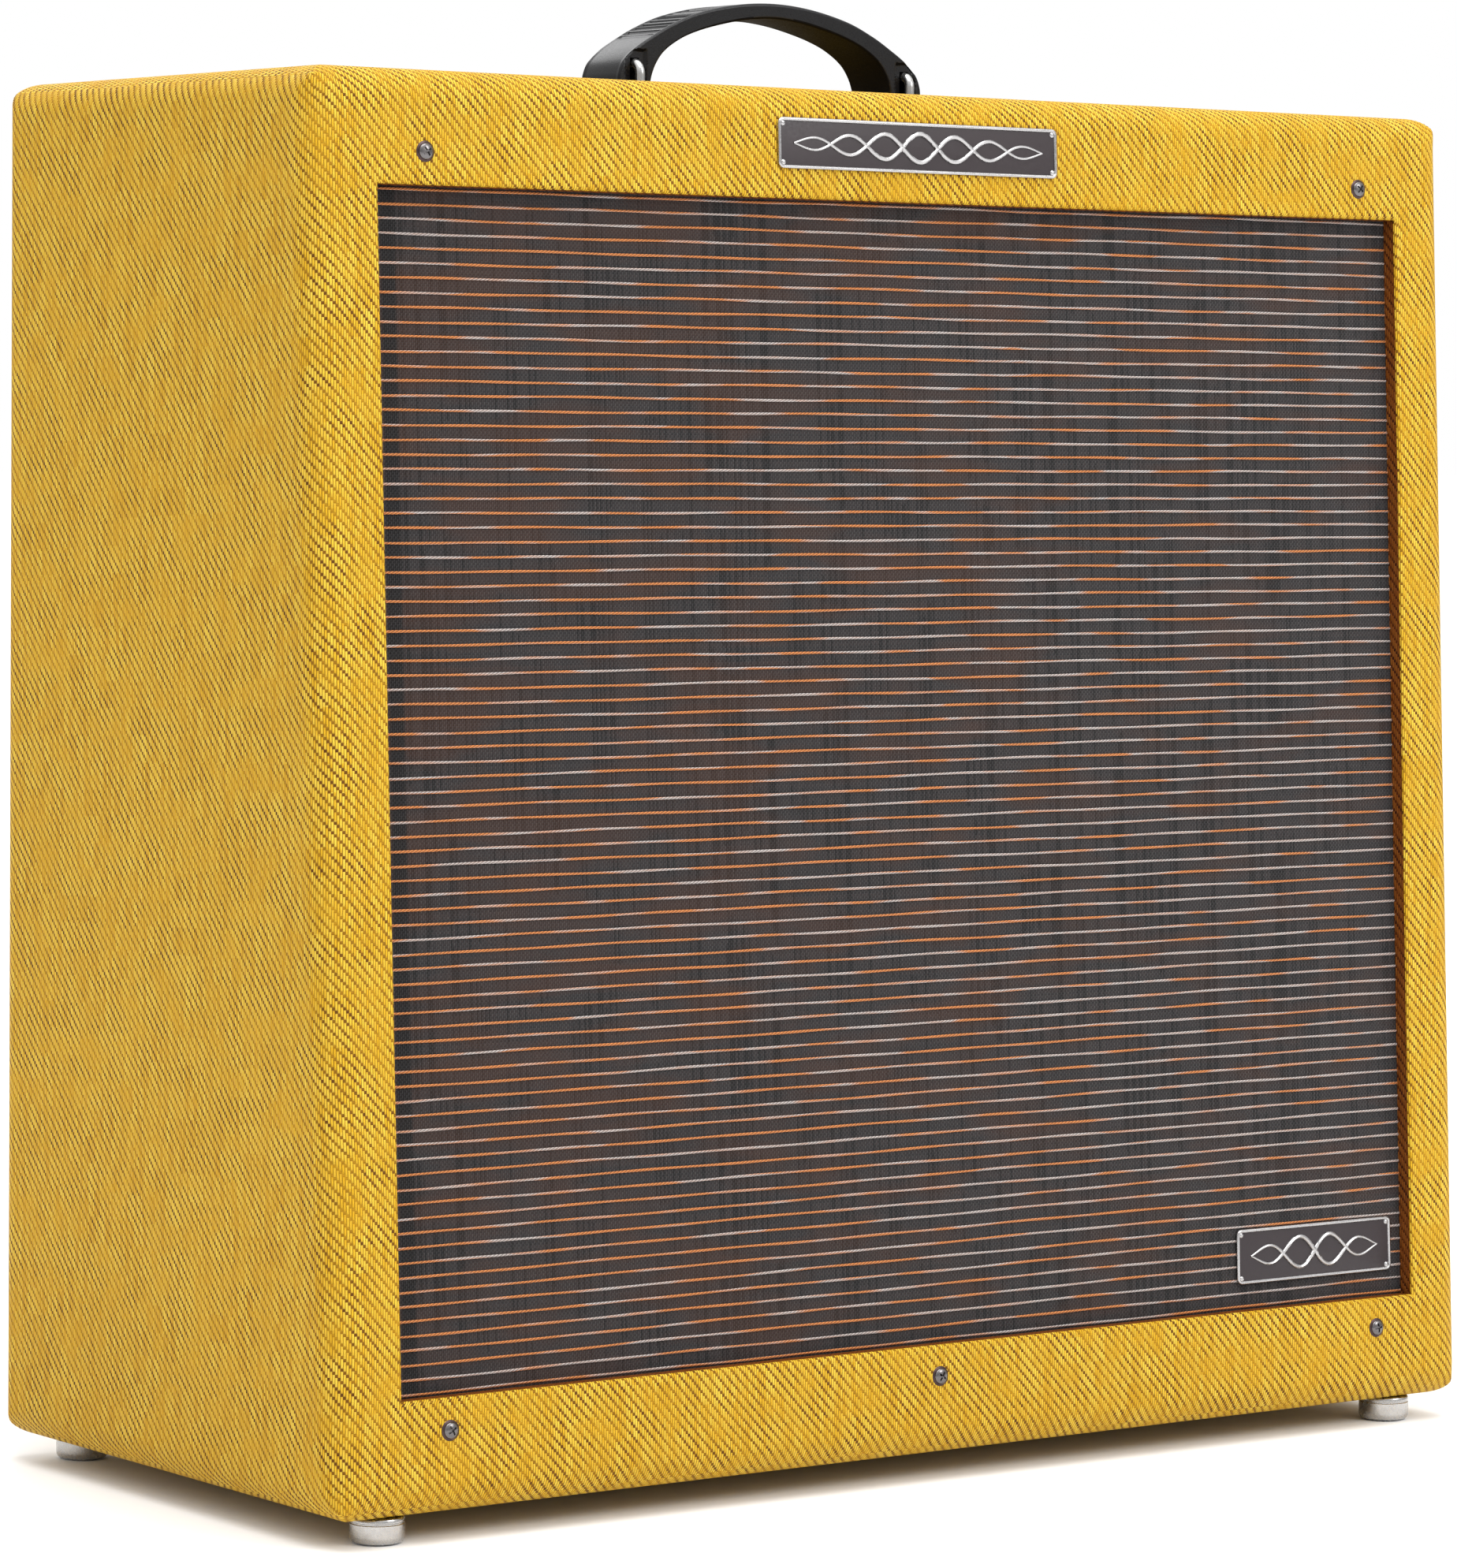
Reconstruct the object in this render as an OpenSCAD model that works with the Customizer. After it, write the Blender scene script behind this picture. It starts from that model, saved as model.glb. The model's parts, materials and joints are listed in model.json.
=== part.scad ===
// Open-back guitar combo amplifier: finger-jointed pine cabinet under woven cloth,
// four ten-inch speakers on a leaning baffle, and a chassis hung under the top.
// Millimetres, +Z up, +Y towards the back. The origin is under the middle of the
// cabinet, on the floor that the glide feet stand on.

/* [Cabinet] */
// Outside width of the covered cabinet
body_w = 597; // [590:1:640]
// Outside height of the covered cabinet, without its feet
body_h = 567; // [560:1:600]
// Outside depth at the bottom
body_d = 267; // [262:1:300]
// Outside depth at the top, less than at the bottom because the front leans back
top_d = 239; // [232:1:245]
// Radius of every outer edge
edge_r = 14; // [8:1:16]
// Thickness of the pine boards
board_t = 18; // [16:1:18]
// Thickness of the woven covering
cover_t = 1; // [0.8:0.1:1.2]

/* [Front] */
// Width of the grille window
window_w = 535; // [480:1:536]
// Height of the grille window, along the leaning front
window_h = 475; // [440:1:476]
// Height of the window's lower edge above the cabinet's bottom edge
window_z = 47; // [44:1:50]
// Thickness of the rails that frame the window
rail_t = 7; // [6:1:8]
// Thickness of the baffle board
baffle_t = 12; // [11:1:13]

/* [Speakers] */
// Distance between speaker centres across the baffle
speaker_dx = 266; // [264:1:268]
// Distance between speaker centres up the baffle
speaker_dz = 258; // [257:1:260]
// Radius of each cut-out in the baffle
cutout_r = 115; // [114:1:116]
// Outer radius of a speaker's rim
rim_r = 127; // [126:1:127]

/* [Handle and feet] */
// Length of the handle over its ends
handle_l = 162; // [158:1:168]
// Width of the handle
handle_w = 28; // [24:1:30]
// Height of the handle's crown above the cabinet top
handle_h = 41.5; // [39:0.5:44]
// Height of a glide foot
foot_h = 11; // [9:1:13]
// Radius of a glide foot
foot_r = 11; // [9:1:13]

/* [Controls] */
// Distance between neighbouring knobs
knob_pitch = 40; // [38:1:42]
// Distance between neighbouring input jacks
jack_pitch = 28; // [26:1:28]
// Radius of the bore of an input jack, for a quarter-inch plug
jack_bore_r = 3.2; // [3.2:0.05:3.3]

/* [Hidden] */

// Resolution of turned parts, and of each rounded corner of the cabinet.
round_fn = 64;
arc_steps = 8;
hex_fn = 6;
big = 700;

// Levels and faces of the cabinet
wall = board_t + cover_t;
z_bottom = foot_h;
z_top = foot_h + body_h;
z_floor = z_bottom + wall;
z_ceiling = z_top - wall;
y_front = -body_d / 2;
y_back = body_d / 2;
inner_x = body_w / 2 - wall;
lean = atan((body_d - top_d) / body_h);
function front_y(z) = y_front + (z - z_bottom) * tan(lean);

// Depths behind the front face, square to it
frame_depth = cover_t + rail_t;
cloth_t = 1;
baffle_front = frame_depth + cloth_t;
baffle_back = baffle_front + baffle_t;

// Finger joints at the four corners
finger_n = 11;
finger_w = (body_d + 2) / finger_n;

// Front screws: two in the top rail, three in the bottom rail
front_screws = [[-245.5, 535], [245.5, 535], [-245.5, 34], [0, 34], [245.5, 34]];
screw_hole_r = 2.6;
screw_shank_r = 2.4;

// Nameplates: [centre across, centre up the front, width, height]
plate_top = [0, 544.5, 147, 21];
plate_small = [216, 70, 90, 24];
plate_t = 1.6;
plate_pins_top = [-69, 69];
plate_pins_small = [238, 257];
pin_r = 1;
pin_clearance = 0.1;

// Speakers, numbered 1 and 2 above, 3 and 4 below
speaker_mid = window_z + window_h / 2;
speaker_at = [for (up = [1, -1], side = [-1, 1]) [side * speaker_dx / 2, speaker_mid + up * speaker_dz / 2]];
gasket_t = 5;
rim_t = 1.5;
bolt_circle_r = 121;
coil_r = 16.6;
glue_gap = 0.1;
motor_z = 52.1;
plate_steel_t = 5;
magnet_t = 18;

// Handle and its bails
handle_y = 8.5;
bail_x = 72;
bail_wire_r = 2;
bail_z = 13;
bail_leg_y = handle_w / 2 + 3;
bail_base_t = 1.5;
bail_screw_y = 24;
lift = 6;

// Chassis and control panel
well_w = 486;
well_d = 58;
panel_y = 85;
panel_t = 1.5;
panel_x = 262;
panel_y0 = 42;
panel_y1 = 122;
tray_x = 250;
tray_y0 = 44;
tray_y1 = 120;
tray_h = 55;
tray_t = 1.5;
z_panel = z_ceiling;
z_tray_top = z_panel - panel_t;
z_tray = z_tray_top - tray_h;
knob_x = [for (i = [0:5]) 105 - i * knob_pitch];
jack_x = [for (i = [0:3]) -219 + i * jack_pitch];
power_x = 225;
standby_x = 190;
lamp_x = 150;
bushing_r = 4.7;
shaft_r = 3;
running = 0.05;
toggle_z = z_panel + 1;
toggle_tilt = 12;

// Back: panels, cleats and the connectors on the chassis's rear wall
back_t = 9;
back_recess = 2;
back_y = y_back - back_recess - back_t;
back_gap = 1.5;
upper_h = 168;
lower_h = 150;
cleat_w = 19;
connector_z = z_tray + tray_h / 2;
window_back = [70, 245, 40];
inlet_x = 215;
line_x = 150;
selector_x = 92;

// ---------------------------------------------------------------- placing

// X across, Y into the cabinet, Z up along the leaning front face.
module on_front() {
    translate([0, y_front, z_bottom]) rotate([-lean, 0, 0]) children();
}

// On the front face, with the children's +Z pointing into the cabinet.
module into_front(x, z, depth = 0) {
    on_front() translate([x, depth, z]) rotate([-90, 0, 0]) children();
}

// On the back of the baffle at one speaker's centre, +Z towards the back.
module at_speaker(i) {
    into_front(speaker_at[i].x, speaker_at[i].y, baffle_back) children();
}

module around_bolt_circle() {
    for (k = [0:3]) rotate(45 + 90 * k) translate([bolt_circle_r, 0, 0]) children();
}

module at_panel(x) {
    translate([x, panel_y, z_panel]) children();
}

// On the chassis's rear wall, with the children's +Z pointing out of the back.
module at_connector(x) {
    translate([x, tray_y1, connector_z]) rotate([-90, 0, 0]) children();
}

module at_bails() {
    for (side = [-1, 1]) translate([side * bail_x, handle_y, z_top]) children();
}

module ring(outer, inner, h) {
    difference() {
        cylinder(h = h, r = outer, $fn = round_fn);
        translate([0, 0, -1]) cylinder(h = h + 2, r = inner, $fn = round_fn);
    }
}

module block(from, to) {
    translate(from) cube(to - from);
}

// ---------------------------------------------------------------- cabinet

function arc(centre, r, from, to) =
    [for (i = [0:arc_steps]) let (a = from + (to - from) * i / arc_steps) centre + r * [cos(a), sin(a)]];

// Outlines with rounded corners, shrunk all round by inset: the cabinet seen
// from its side as [y, z], from its front as [x, z], and its back edges and its
// front edges seen along their own length as [x, y].
function side_outline(r) =
    let (low = z_bottom + edge_r, high = z_top - edge_r, near = edge_r / cos(lean))
    concat(arc([y_back - edge_r, high], r, 0, 90), arc([front_y(high) + near, high], r, 90, 180 - lean),
           arc([front_y(low) + near, low], r, 180 - lean, 270), arc([y_back - edge_r, low], r, 270, 360));

function front_outline(r) =
    let (x = body_w / 2 - edge_r, low = z_bottom + edge_r, high = z_top - edge_r)
    concat(arc([x, high], r, 0, 90), arc([-x, high], r, 90, 180),
           arc([-x, low], r, 180, 270), arc([x, low], r, 270, 360));

function edge_pair_outline(r, y, run) =
    let (x = body_w / 2 - edge_r)
    concat(arc([x, y], r, 0, 90), arc([-x, y], r, 90, 180), [[-x - r, y - run], [x + r, y - run]]);

// The cabinet's outside with every edge rounded, shrunk all round by inset.
module rounded_block(inset) {
    r = edge_r - inset;
    intersection() {
        translate([-big, 0, 0]) rotate([90, 0, 90]) linear_extrude(height = 2 * big)
            polygon(side_outline(r));
        translate([0, big, 0]) rotate([90, 0, 0]) linear_extrude(height = 2 * big)
            polygon(front_outline(r));
        linear_extrude(height = 2 * big)
            polygon(edge_pair_outline(r, y_back - edge_r, big));
        on_front() translate([0, 0, -big]) linear_extrude(height = 3 * big) mirror([0, 1])
            polygon(edge_pair_outline(r, -edge_r, big));
    }
}

// The open space inside the boards and behind the front frame.
module cavity() {
    intersection() {
        block([-inner_x, y_front - 50, z_floor], [inner_x, y_back + 50, z_ceiling]);
        on_front() block([-big, frame_depth, -big], [big, big, 2 * big]);
    }
}

module grille_window(grow) {
    on_front()
        block([-window_w / 2 - grow, -20, window_z - grow],
              [window_w / 2 + grow, frame_depth + 1, window_z + window_h + grow]);
}

module panel_well(grow) {
    block([-well_w / 2 - grow, panel_y - well_d / 2 - grow, z_ceiling - 1],
          [well_w / 2 + grow, panel_y + well_d / 2 + grow, z_top + 1]);
}

module front_screw_holes() {
    for (p = front_screws)
        into_front(p.x, p.y, -5) cylinder(h = 50, r = screw_hole_r, $fn = round_fn);
}

module plate_pin_holes(xs, z, depth) {
    for (x = xs)
        into_front(x, z, -2) cylinder(h = depth + 2, r = pin_r + pin_clearance, $fn = 24);
}

module bail_screw_holes(r) {
    at_bails()
        for (s = [-1, 1])
            translate([0, s * bail_screw_y, -14]) cylinder(h = 20, r = r, $fn = 24);
}

module chassis_screw_places() {
    for (side = [-1, 1], y = [52, 112]) translate([side * 256, y, z_panel]) children();
}

// Every second finger of the joints between one side board and its neighbours.
module corner_fingers(side, parity) {
    x0 = side > 0 ? inner_x : -body_w / 2 - 1;
    for (z0 = [z_bottom - 1, z_ceiling], i = [parity:2:finger_n - 1])
        translate([x0, y_front - 1 + i * finger_w, z0])
            cube([wall + 1, finger_w, wall + 1]);
}

module side_board(side) {
    x0 = side > 0 ? inner_x : -body_w;
    color("burlywood") difference() {
        intersection() {
            rounded_block(cover_t);
            translate([x0, -body_d, 0]) cube([body_w - inner_x, 2 * body_d, 2 * body_h]);
        }
        corner_fingers(side, 0);
    }
}

module top_board() {
    color("burlywood") difference() {
        intersection() {
            rounded_block(cover_t);
            block([-big, -big, z_ceiling], [big, big, big]);
        }
        for (side = [-1, 1]) corner_fingers(side, 1);
        panel_well(cover_t);
        bail_screw_holes(2.1);
        chassis_screw_places() translate([0, 0, -1]) cylinder(h = 14, r = 2.1, $fn = 24);
    }
}

module bottom_board() {
    color("burlywood") difference() {
        intersection() {
            rounded_block(cover_t);
            block([-big, -big, 0], [big, big, z_floor]);
        }
        for (side = [-1, 1]) corner_fingers(side, 1);
        foot_places() cylinder(h = 12, r = 1.6, $fn = 24);
    }
}

module frame_strip(x0, x1, z0, z1) {
    intersection() {
        on_front() block([x0, cover_t, z0], [x1, frame_depth, z1]);
        block([-inner_x, -big, z_floor], [inner_x, big, z_ceiling]);
    }
}

module front_rail_top() {
    color("tan") difference() {
        frame_strip(-inner_x, inner_x, window_z + window_h + cover_t, body_h + 10);
        front_screw_holes();
        plate_pin_holes(plate_pins_top, plate_top.y, 6.5);
    }
}

module front_rail_bottom() {
    color("tan") difference() {
        frame_strip(-inner_x, inner_x, 0, window_z - cover_t);
        front_screw_holes();
    }
}

module front_cleats() {
    color("tan") for (side = [-1, 1]) {
        edge = side * (window_w / 2 + cover_t);
        far = side * inner_x;
        frame_strip(min(edge, far), max(edge, far), window_z - cover_t, window_z + window_h + cover_t);
    }
}

// The cloth is glued to all the outside, and folded round the window,
// the panel well and the back edges.
module tweed_cover() {
    color("goldenrod") difference() {
        rounded_block(0);
        difference() {
            rounded_block(cover_t);
            grille_window(cover_t);
            panel_well(cover_t);
        }
        cavity();
        grille_window(0);
        panel_well(0);
        front_screw_holes();
        plate_pin_holes(plate_pins_top, plate_top.y, 6.5);
        bail_screw_holes(2.1);
        foot_places() translate([0, 0, -1]) cylinder(h = 12, r = 1.6, $fn = 24);
    }
}

// ---------------------------------------------------------------- baffle

module baffle_sheet(x, z0, z1, front, back) {
    on_front() block([-x, front, z0], [x, back, z1]);
}

module baffle_board() {
    color("peru") difference() {
        baffle_sheet(277, 22, 546, baffle_front, baffle_back);
        for (i = [0:3])
            at_speaker(i) {
                translate([0, 0, -baffle_t - 1]) cylinder(h = baffle_t + 2, r = cutout_r, $fn = round_fn);
                around_bolt_circle() translate([0, 0, -10.5]) cylinder(h = 12, r = 2.2, $fn = 24);
            }
        front_screw_holes();
        plate_pin_holes(plate_pins_small, plate_small.y, frame_depth + 10);
    }
}

module grille_cloth() {
    color("dimgray") difference() {
        baffle_sheet(277.5, 21.5, 546.5, frame_depth, baffle_front);
        front_screw_holes();
        plate_pin_holes(plate_pins_small, plate_small.y, frame_depth + 10);
    }
}

// Domed cross-slot screw in a cup washer, with its nut behind the baffle.
module baffle_screw() {
    cylinder(h = baffle_back + 5, r = screw_shank_r, $fn = 32);
    translate([0, 0, -0.8]) cylinder(h = 0.8, r1 = 4, r2 = 5, $fn = 32);
    difference() {
        intersection() {
            translate([0, 0, 4.3]) sphere(r = 6, $fn = 32);
            translate([0, 0, -2]) cylinder(h = 2, r = 3.8, $fn = 32);
        }
        for (a = [0, 90]) rotate(a) block([-2, -0.5, -2.5], [2, 0.5, -1]);
    }
    translate([0, 0, baffle_back]) difference() {
        cylinder(h = 3.2, r = 4.6, $fn = hex_fn);
        translate([0, 0, -1]) cylinder(h = 6, r = screw_shank_r + running, $fn = 32);
    }
}

module baffle_screws() {
    color("slategray") for (p = front_screws) into_front(p.x, p.y) baffle_screw();
}

// Enamelled plate with a raised rim, held by two pins.
module nameplate(place, pins, depth) {
    rim = 1.8;
    rim_h = 0.6;
    color("silver") on_front() difference() {
        block([place.x - place[2] / 2, depth - plate_t, place.y - place[3] / 2],
              [place.x + place[2] / 2, depth, place.y + place[3] / 2]);
        block([place.x - place[2] / 2 + rim, depth - plate_t - 1, place.y - place[3] / 2 + rim],
              [place.x + place[2] / 2 - rim, depth - plate_t + rim_h, place.y + place[3] / 2 - rim]);
    }
    color("silver") for (x = pins) into_front(x, place.y, depth - 0.2) cylinder(h = 6, r = pin_r, $fn = 24);
}

// ---------------------------------------------------------------- feet

module foot_places() {
    for (side = [-1, 1], y = [y_front + 20, y_back - 19])
        translate([side * (body_w / 2 - 31), y, z_bottom]) children();
}

// Pressed steel glide with a rolled rim and a nail into the bottom board.
module glide_feet() {
    color("gainsboro") foot_places() {
        translate([0, 0, -foot_h]) cylinder(h = 2, r1 = foot_r - 2, r2 = foot_r, $fn = round_fn);
        translate([0, 0, 2 - foot_h]) cylinder(h = foot_h - 3, r = foot_r, $fn = round_fn);
        translate([0, 0, -1]) cylinder(h = 1, r1 = foot_r, r2 = foot_r - 1, $fn = round_fn);
        translate([0, 0, -0.5]) cylinder(h = 12, r = 1.5, $fn = 24);
    }
}

// ---------------------------------------------------------------- handle

// Side view of the handle, crown up, with z measured from the cabinet top.
module handle_outline() {
    crown_r = 120;
    hollow_r = 118;
    hollow_top = 35;
    end_x = handle_l / 2;
    heel_z = bail_base_t + 0.2;
    intersection() {
        difference() {
            translate([0, handle_h - crown_r]) circle(r = crown_r, $fn = 180);
            translate([0, hollow_top - hollow_r]) circle(r = hollow_r, $fn = 180);
        }
        translate([-66, 12]) square([132, 40]);
    }
    heel = [
        [end_x - 17, heel_z], [end_x, heel_z], [end_x, 8], [end_x - 1.5, 12.5], [end_x - 5, 15.8],
        [end_x - 9, 18.2], [60, 25.2], [54, 21.8], [58.7, 17.5], [62, 11]
    ];
    polygon(heel);
    polygon([for (i = [len(heel) - 1:-1:0]) [-heel[i].x, heel[i].y]]);
}

module handle() {
    color("#202022") difference() {
        translate([0, handle_y + handle_w / 2, z_top]) rotate([90, 0, 0])
            linear_extrude(height = handle_w) handle_outline();
        for (side = [-1, 1])
            translate([side * bail_x, handle_y, z_top])
                block([-bail_wire_r - 0.3, -handle_w, bail_z - bail_wire_r - lift - 0.3],
                      [bail_wire_r + 0.3, handle_w, bail_z + bail_wire_r + 0.3]);
    }
}

// Wire loop through each end of the handle, on a screwed base plate.
module handle_bails() {
    color("silver") at_bails() {
        difference() {
            block([-8, -bail_screw_y - 6, 0], [8, bail_screw_y + 6, bail_base_t]);
            for (s = [-1, 1])
                translate([0, s * bail_screw_y, -1]) cylinder(h = 4, r = 2.2, $fn = 24);
        }
        for (s = [-1, 1])
            translate([0, s * bail_leg_y, bail_base_t - 0.5])
                cylinder(h = bail_z - bail_base_t + 0.5, r = bail_wire_r, $fn = 32);
        for (s = [-1, 1])
            translate([0, s * bail_leg_y, bail_z]) sphere(r = bail_wire_r, $fn = 32);
        translate([0, bail_leg_y, bail_z]) rotate([90, 0, 0])
            cylinder(h = 2 * bail_leg_y, r = bail_wire_r, $fn = 32);
    }
}

// Pan-head screws for the bails and the chassis.
module pan_screw(length) {
    translate([0, 0, -length]) cylinder(h = length + 0.5, r = 2, $fn = 24);
    difference() {
        cylinder(h = 2.2, r1 = 3.6, r2 = 3, $fn = 32);
        for (a = [0, 90]) rotate(a) block([-2, -0.45, 1.2], [2, 0.45, 3]);
    }
}

module mounting_screws() {
    color("silver") {
        at_bails()
            for (s = [-1, 1])
                translate([0, s * bail_screw_y, bail_base_t]) pan_screw(14);
        chassis_screw_places() translate([0, 0, -panel_t]) rotate([180, 0, 0]) pan_screw(13);
    }
}

// ---------------------------------------------------------------- back

upper_z1 = z_ceiling - back_gap;
upper_z0 = upper_z1 - upper_h;
lower_z0 = z_floor + back_gap;
lower_z1 = lower_z0 + lower_h;
panel_half = inner_x - back_gap;
cleat_x = inner_x - cleat_w / 2;

module back_screw_places() {
    for (side = [-1, 1])
        for (z = [upper_z0 + 20, upper_z1 - 20, lower_z0 + 20, lower_z1 - 20])
            translate([side * cleat_x, back_y + back_t, z]) rotate([-90, 0, 0]) children();
}

module back_panel(z0, z1) {
    difference() {
        block([-panel_half, back_y, z0], [panel_half, back_y + back_t, z1]);
        back_screw_places() translate([0, 0, -12]) cylinder(h = 20, r = 2.3, $fn = 24);
    }
}

module upper_back_panel() {
    color("goldenrod") difference() {
        back_panel(upper_z0, upper_z1);
        block([window_back[0], back_y - 1, connector_z - window_back[2] / 2],
              [window_back[1], back_y + back_t + 1, connector_z + window_back[2] / 2]);
    }
}

module lower_back_panel() {
    color("goldenrod") back_panel(lower_z0, lower_z1);
}

module back_cleats() {
    color("tan") difference() {
        for (side = [-1, 1], span = [[upper_z0, upper_z1], [lower_z0, lower_z1]]) {
            x0 = side > 0 ? inner_x - cleat_w : -inner_x;
            block([x0, back_y - cleat_w, span[0]], [x0 + cleat_w, back_y, span[1]]);
        }
        back_screw_places() translate([0, 0, -26]) cylinder(h = 20, r = 2.1, $fn = 24);
    }
}

module back_panel_screws() {
    color("silver") back_screw_places() {
        translate([0, 0, -25]) cylinder(h = 25.2, r = 2, $fn = 24);
        difference() {
            cylinder(h = 1.8, r1 = 5, r2 = 3.4, $fn = 32);
            for (a = [0, 90]) rotate(a) block([-2, -0.45, 0.9], [2, 0.45, 3]);
        }
    }
}

// ---------------------------------------------------------------- chassis

module chassis() {
    color("lightgray") difference() {
        block([-tray_x, tray_y0, z_tray], [tray_x, tray_y1, z_tray_top]);
        block([-tray_x + tray_t, tray_y0 + tray_t, z_tray + tray_t],
              [tray_x - tray_t, tray_y1 - tray_t, z_tray_top + 1]);
        at_connector(inlet_x) block([-14, -10.5, -5], [14, 10.5, 5]);
        at_connector(line_x) translate([0, 0, -5]) cylinder(h = 10, r = 11.2, $fn = round_fn);
        at_connector(selector_x) translate([0, 0, -5]) cylinder(h = 10, r = bushing_r + 0.2, $fn = round_fn);
        for (i = [0:5])
            translate([-60 + i * 24, tray_y0 - 1, z_tray + 20]) cube([14, 4, 4]);
    }
}

module control_panel() {
    color("silver") difference() {
        block([-panel_x, panel_y0, z_tray_top], [panel_x, panel_y1, z_panel]);
        for (x = concat(knob_x, jack_x)) at_panel(x) panel_hole(bushing_r + 0.2);
        for (x = [power_x, standby_x]) at_panel(x) panel_hole(6.2);
        at_panel(lamp_x) panel_hole(7.2);
        chassis_screw_places() panel_hole(2.2);
    }
}

module panel_hole(r) {
    translate([0, 0, -5]) cylinder(h = 10, r = r, $fn = round_fn);
}

module circuit_card(x0, x1, y0, y1) {
    block([x0, y0, z_tray + 6], [x1, y1, z_tray + 7.6]);
    for (x = [x0 + 5, x1 - 5], y = [y0 + 5, y1 - 5])
        translate([x, y, z_tray + tray_t]) cylinder(h = 5, r = 2.5, $fn = 24);
}

module chip(x, y, w, d, h) {
    translate([x - w / 2, y - d / 2, z_tray + 7]) cube([w, d, h + 0.6]);
}

module signal_board() {
    color("darkgreen") circuit_card(-235, -55, 50, 114);
    color("#303030") {
        chip(-150, 82, 24, 24, 2);
        chip(-110, 82, 14, 18, 2);
        for (i = [0:3]) chip(-200 + i * 12, 70, 8, 10, 2);
        for (i = [0:4]) chip(-95 + i * 7, 60, 4, 6, 3);
    }
}

module amplifier_board() {
    color("darkgreen") circuit_card(-40, 90, 50, 114);
    color("gray") for (i = [0:7]) chip(-5 + i * 4, 82, 2, 40, 22);
    color("gray") chip(9, 82, 32, 42, 4);
    color("#8a5a2b") for (x = [48, 72], y = [66, 98])
        translate([x, y, z_tray + 7]) ring(9, 4, 10);
}

module power_supply() {
    color("darkgreen") circuit_card(105, 240, 50, 92);
    color("khaki") chip(140, 71, 30, 28, 24);
    color("#202020") for (x = [170, 190])
        translate([x, 71, z_tray + 7]) cylinder(h = 26, r = 8, $fn = 48);
    color("gray") chip(218, 71, 6, 34, 22);
}

// Pot can under the panel with its threaded bushing; the shaft runs in it.
module pot_body() {
    difference() {
        union() {
            translate([0, 0, -panel_t - 10]) cylinder(h = 10, r = 12, $fn = round_fn);
            translate([0, 0, -panel_t - 1]) cylinder(h = panel_t + 4, r = bushing_r, $fn = round_fn);
        }
        translate([0, 0, -panel_t - 9]) cylinder(h = 20, r = shaft_r + running, $fn = round_fn);
    }
}

module rotary_controls() {
    color("silver") {
        for (x = knob_x) at_panel(x) pot_body();
        at_connector(selector_x) difference() {
            union() {
                translate([0, 0, -tray_t - 14]) cylinder(h = 14, r = 12, $fn = round_fn);
                translate([0, 0, -tray_t - 1]) cylinder(h = tray_t + 2, r = bushing_r, $fn = round_fn);
            }
            translate([0, 0, -tray_t - 10]) cylinder(h = 20, r = shaft_r + running, $fn = round_fn);
        }
    }
}

module pointer_outline() {
    polygon([[-5, -10], [0, -12.5], [5, -10], [5.6, 4], [1.8, 17], [0, 17.5], [-1.8, 17], [-5.6, 4]]);
}

// Pointer knob on its shaft, with the pointer towards the front at mid travel.
module pointer_knob(x) {
    at_panel(x) {
        color("#1a1a1a") difference() {
            union() {
                translate([0, 0, 3.4]) cylinder(h = 5, r = 9.5, $fn = round_fn);
                translate([0, 0, 5]) rotate(180) linear_extrude(height = 13) pointer_outline();
            }
            translate([0, 0, 0]) cylinder(h = 14, r = shaft_r + running, $fn = round_fn);
        }
        color("silver") translate([0, 0, -panel_t - 8.5]) cylinder(h = 23, r = shaft_r, $fn = round_fn);
    }
}

module selector_knob() {
    at_connector(selector_x) {
        color("#1a1a1a") difference() {
            union() {
                translate([0, 0, 1.5]) cylinder(h = 10.5, r = 7, $fn = round_fn);
                block([-1.2, -9.5, 1.5], [1.2, 0, 12]);
            }
            cylinder(h = 9, r = shaft_r + running, $fn = round_fn);
        }
        color("silver") translate([0, 0, -tray_t - 9]) cylinder(h = 19, r = shaft_r, $fn = round_fn);
    }
}

// Toggle switch: a boxed body with a bushing whose throat lets the lever swing.
module toggle_body() {
    difference() {
        union() {
            block([-9, -6.5, -panel_t - 20], [9, 6.5, -panel_t]);
            translate([0, 0, -panel_t - 1]) cylinder(h = panel_t + 6, r = 6, $fn = round_fn);
        }
        translate([0, 0, -panel_t - 6]) cylinder(h = 20, r = 3.4, $fn = round_fn);
        translate([0, 5, toggle_z - z_panel]) rotate([90, 0, 0]) cylinder(h = 10, r = 1 + running, $fn = 32);
    }
}

module toggle_bodies() {
    color("silver") for (x = [power_x, standby_x]) at_panel(x) toggle_body();
}

module toggle_lever(x) {
    color("silver") translate([x, panel_y, toggle_z]) {
        rotate([0, toggle_tilt, 0]) {
            translate([0, 0, -4]) cylinder(h = 12, r = 1.5, $fn = 32);
            translate([0, 0, 8]) cylinder(h = 7, r1 = 1.5, r2 = 2.6, $fn = 32);
            translate([0, 0, 15]) intersection() {
                sphere(r = 2.6, $fn = 32);
                cylinder(h = 3, r = 3, $fn = 32);
            }
        }
        translate([0, 4.8, 0]) rotate([90, 0, 0]) cylinder(h = 9.6, r = 1, $fn = 32);
    }
}

module pilot_lamp_holder() {
    color("silver") at_panel(lamp_x) {
        ring(10, 8.1, 3);
        translate([0, 0, -0.01]) ring(9, 5, 0.8);
        translate([0, 0, -20]) difference() {
            cylinder(h = 20.5, r = 7, $fn = round_fn);
            translate([0, 0, 2]) cylinder(h = 30, r = 5.6, $fn = round_fn);
        }
        translate([0, 0, -18]) cylinder(h = 12, r = 3.5, $fn = 32);
    }
}

module pilot_jewel() {
    color("darkorange") at_panel(lamp_x) {
        translate([0, 0, 0.85]) cylinder(h = 3, r = 8, $fn = round_fn);
        translate([0, 0, 3.85]) cylinder(h = 5, r1 = 8, r2 = 4.5, $fn = 10);
    }
}

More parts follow.
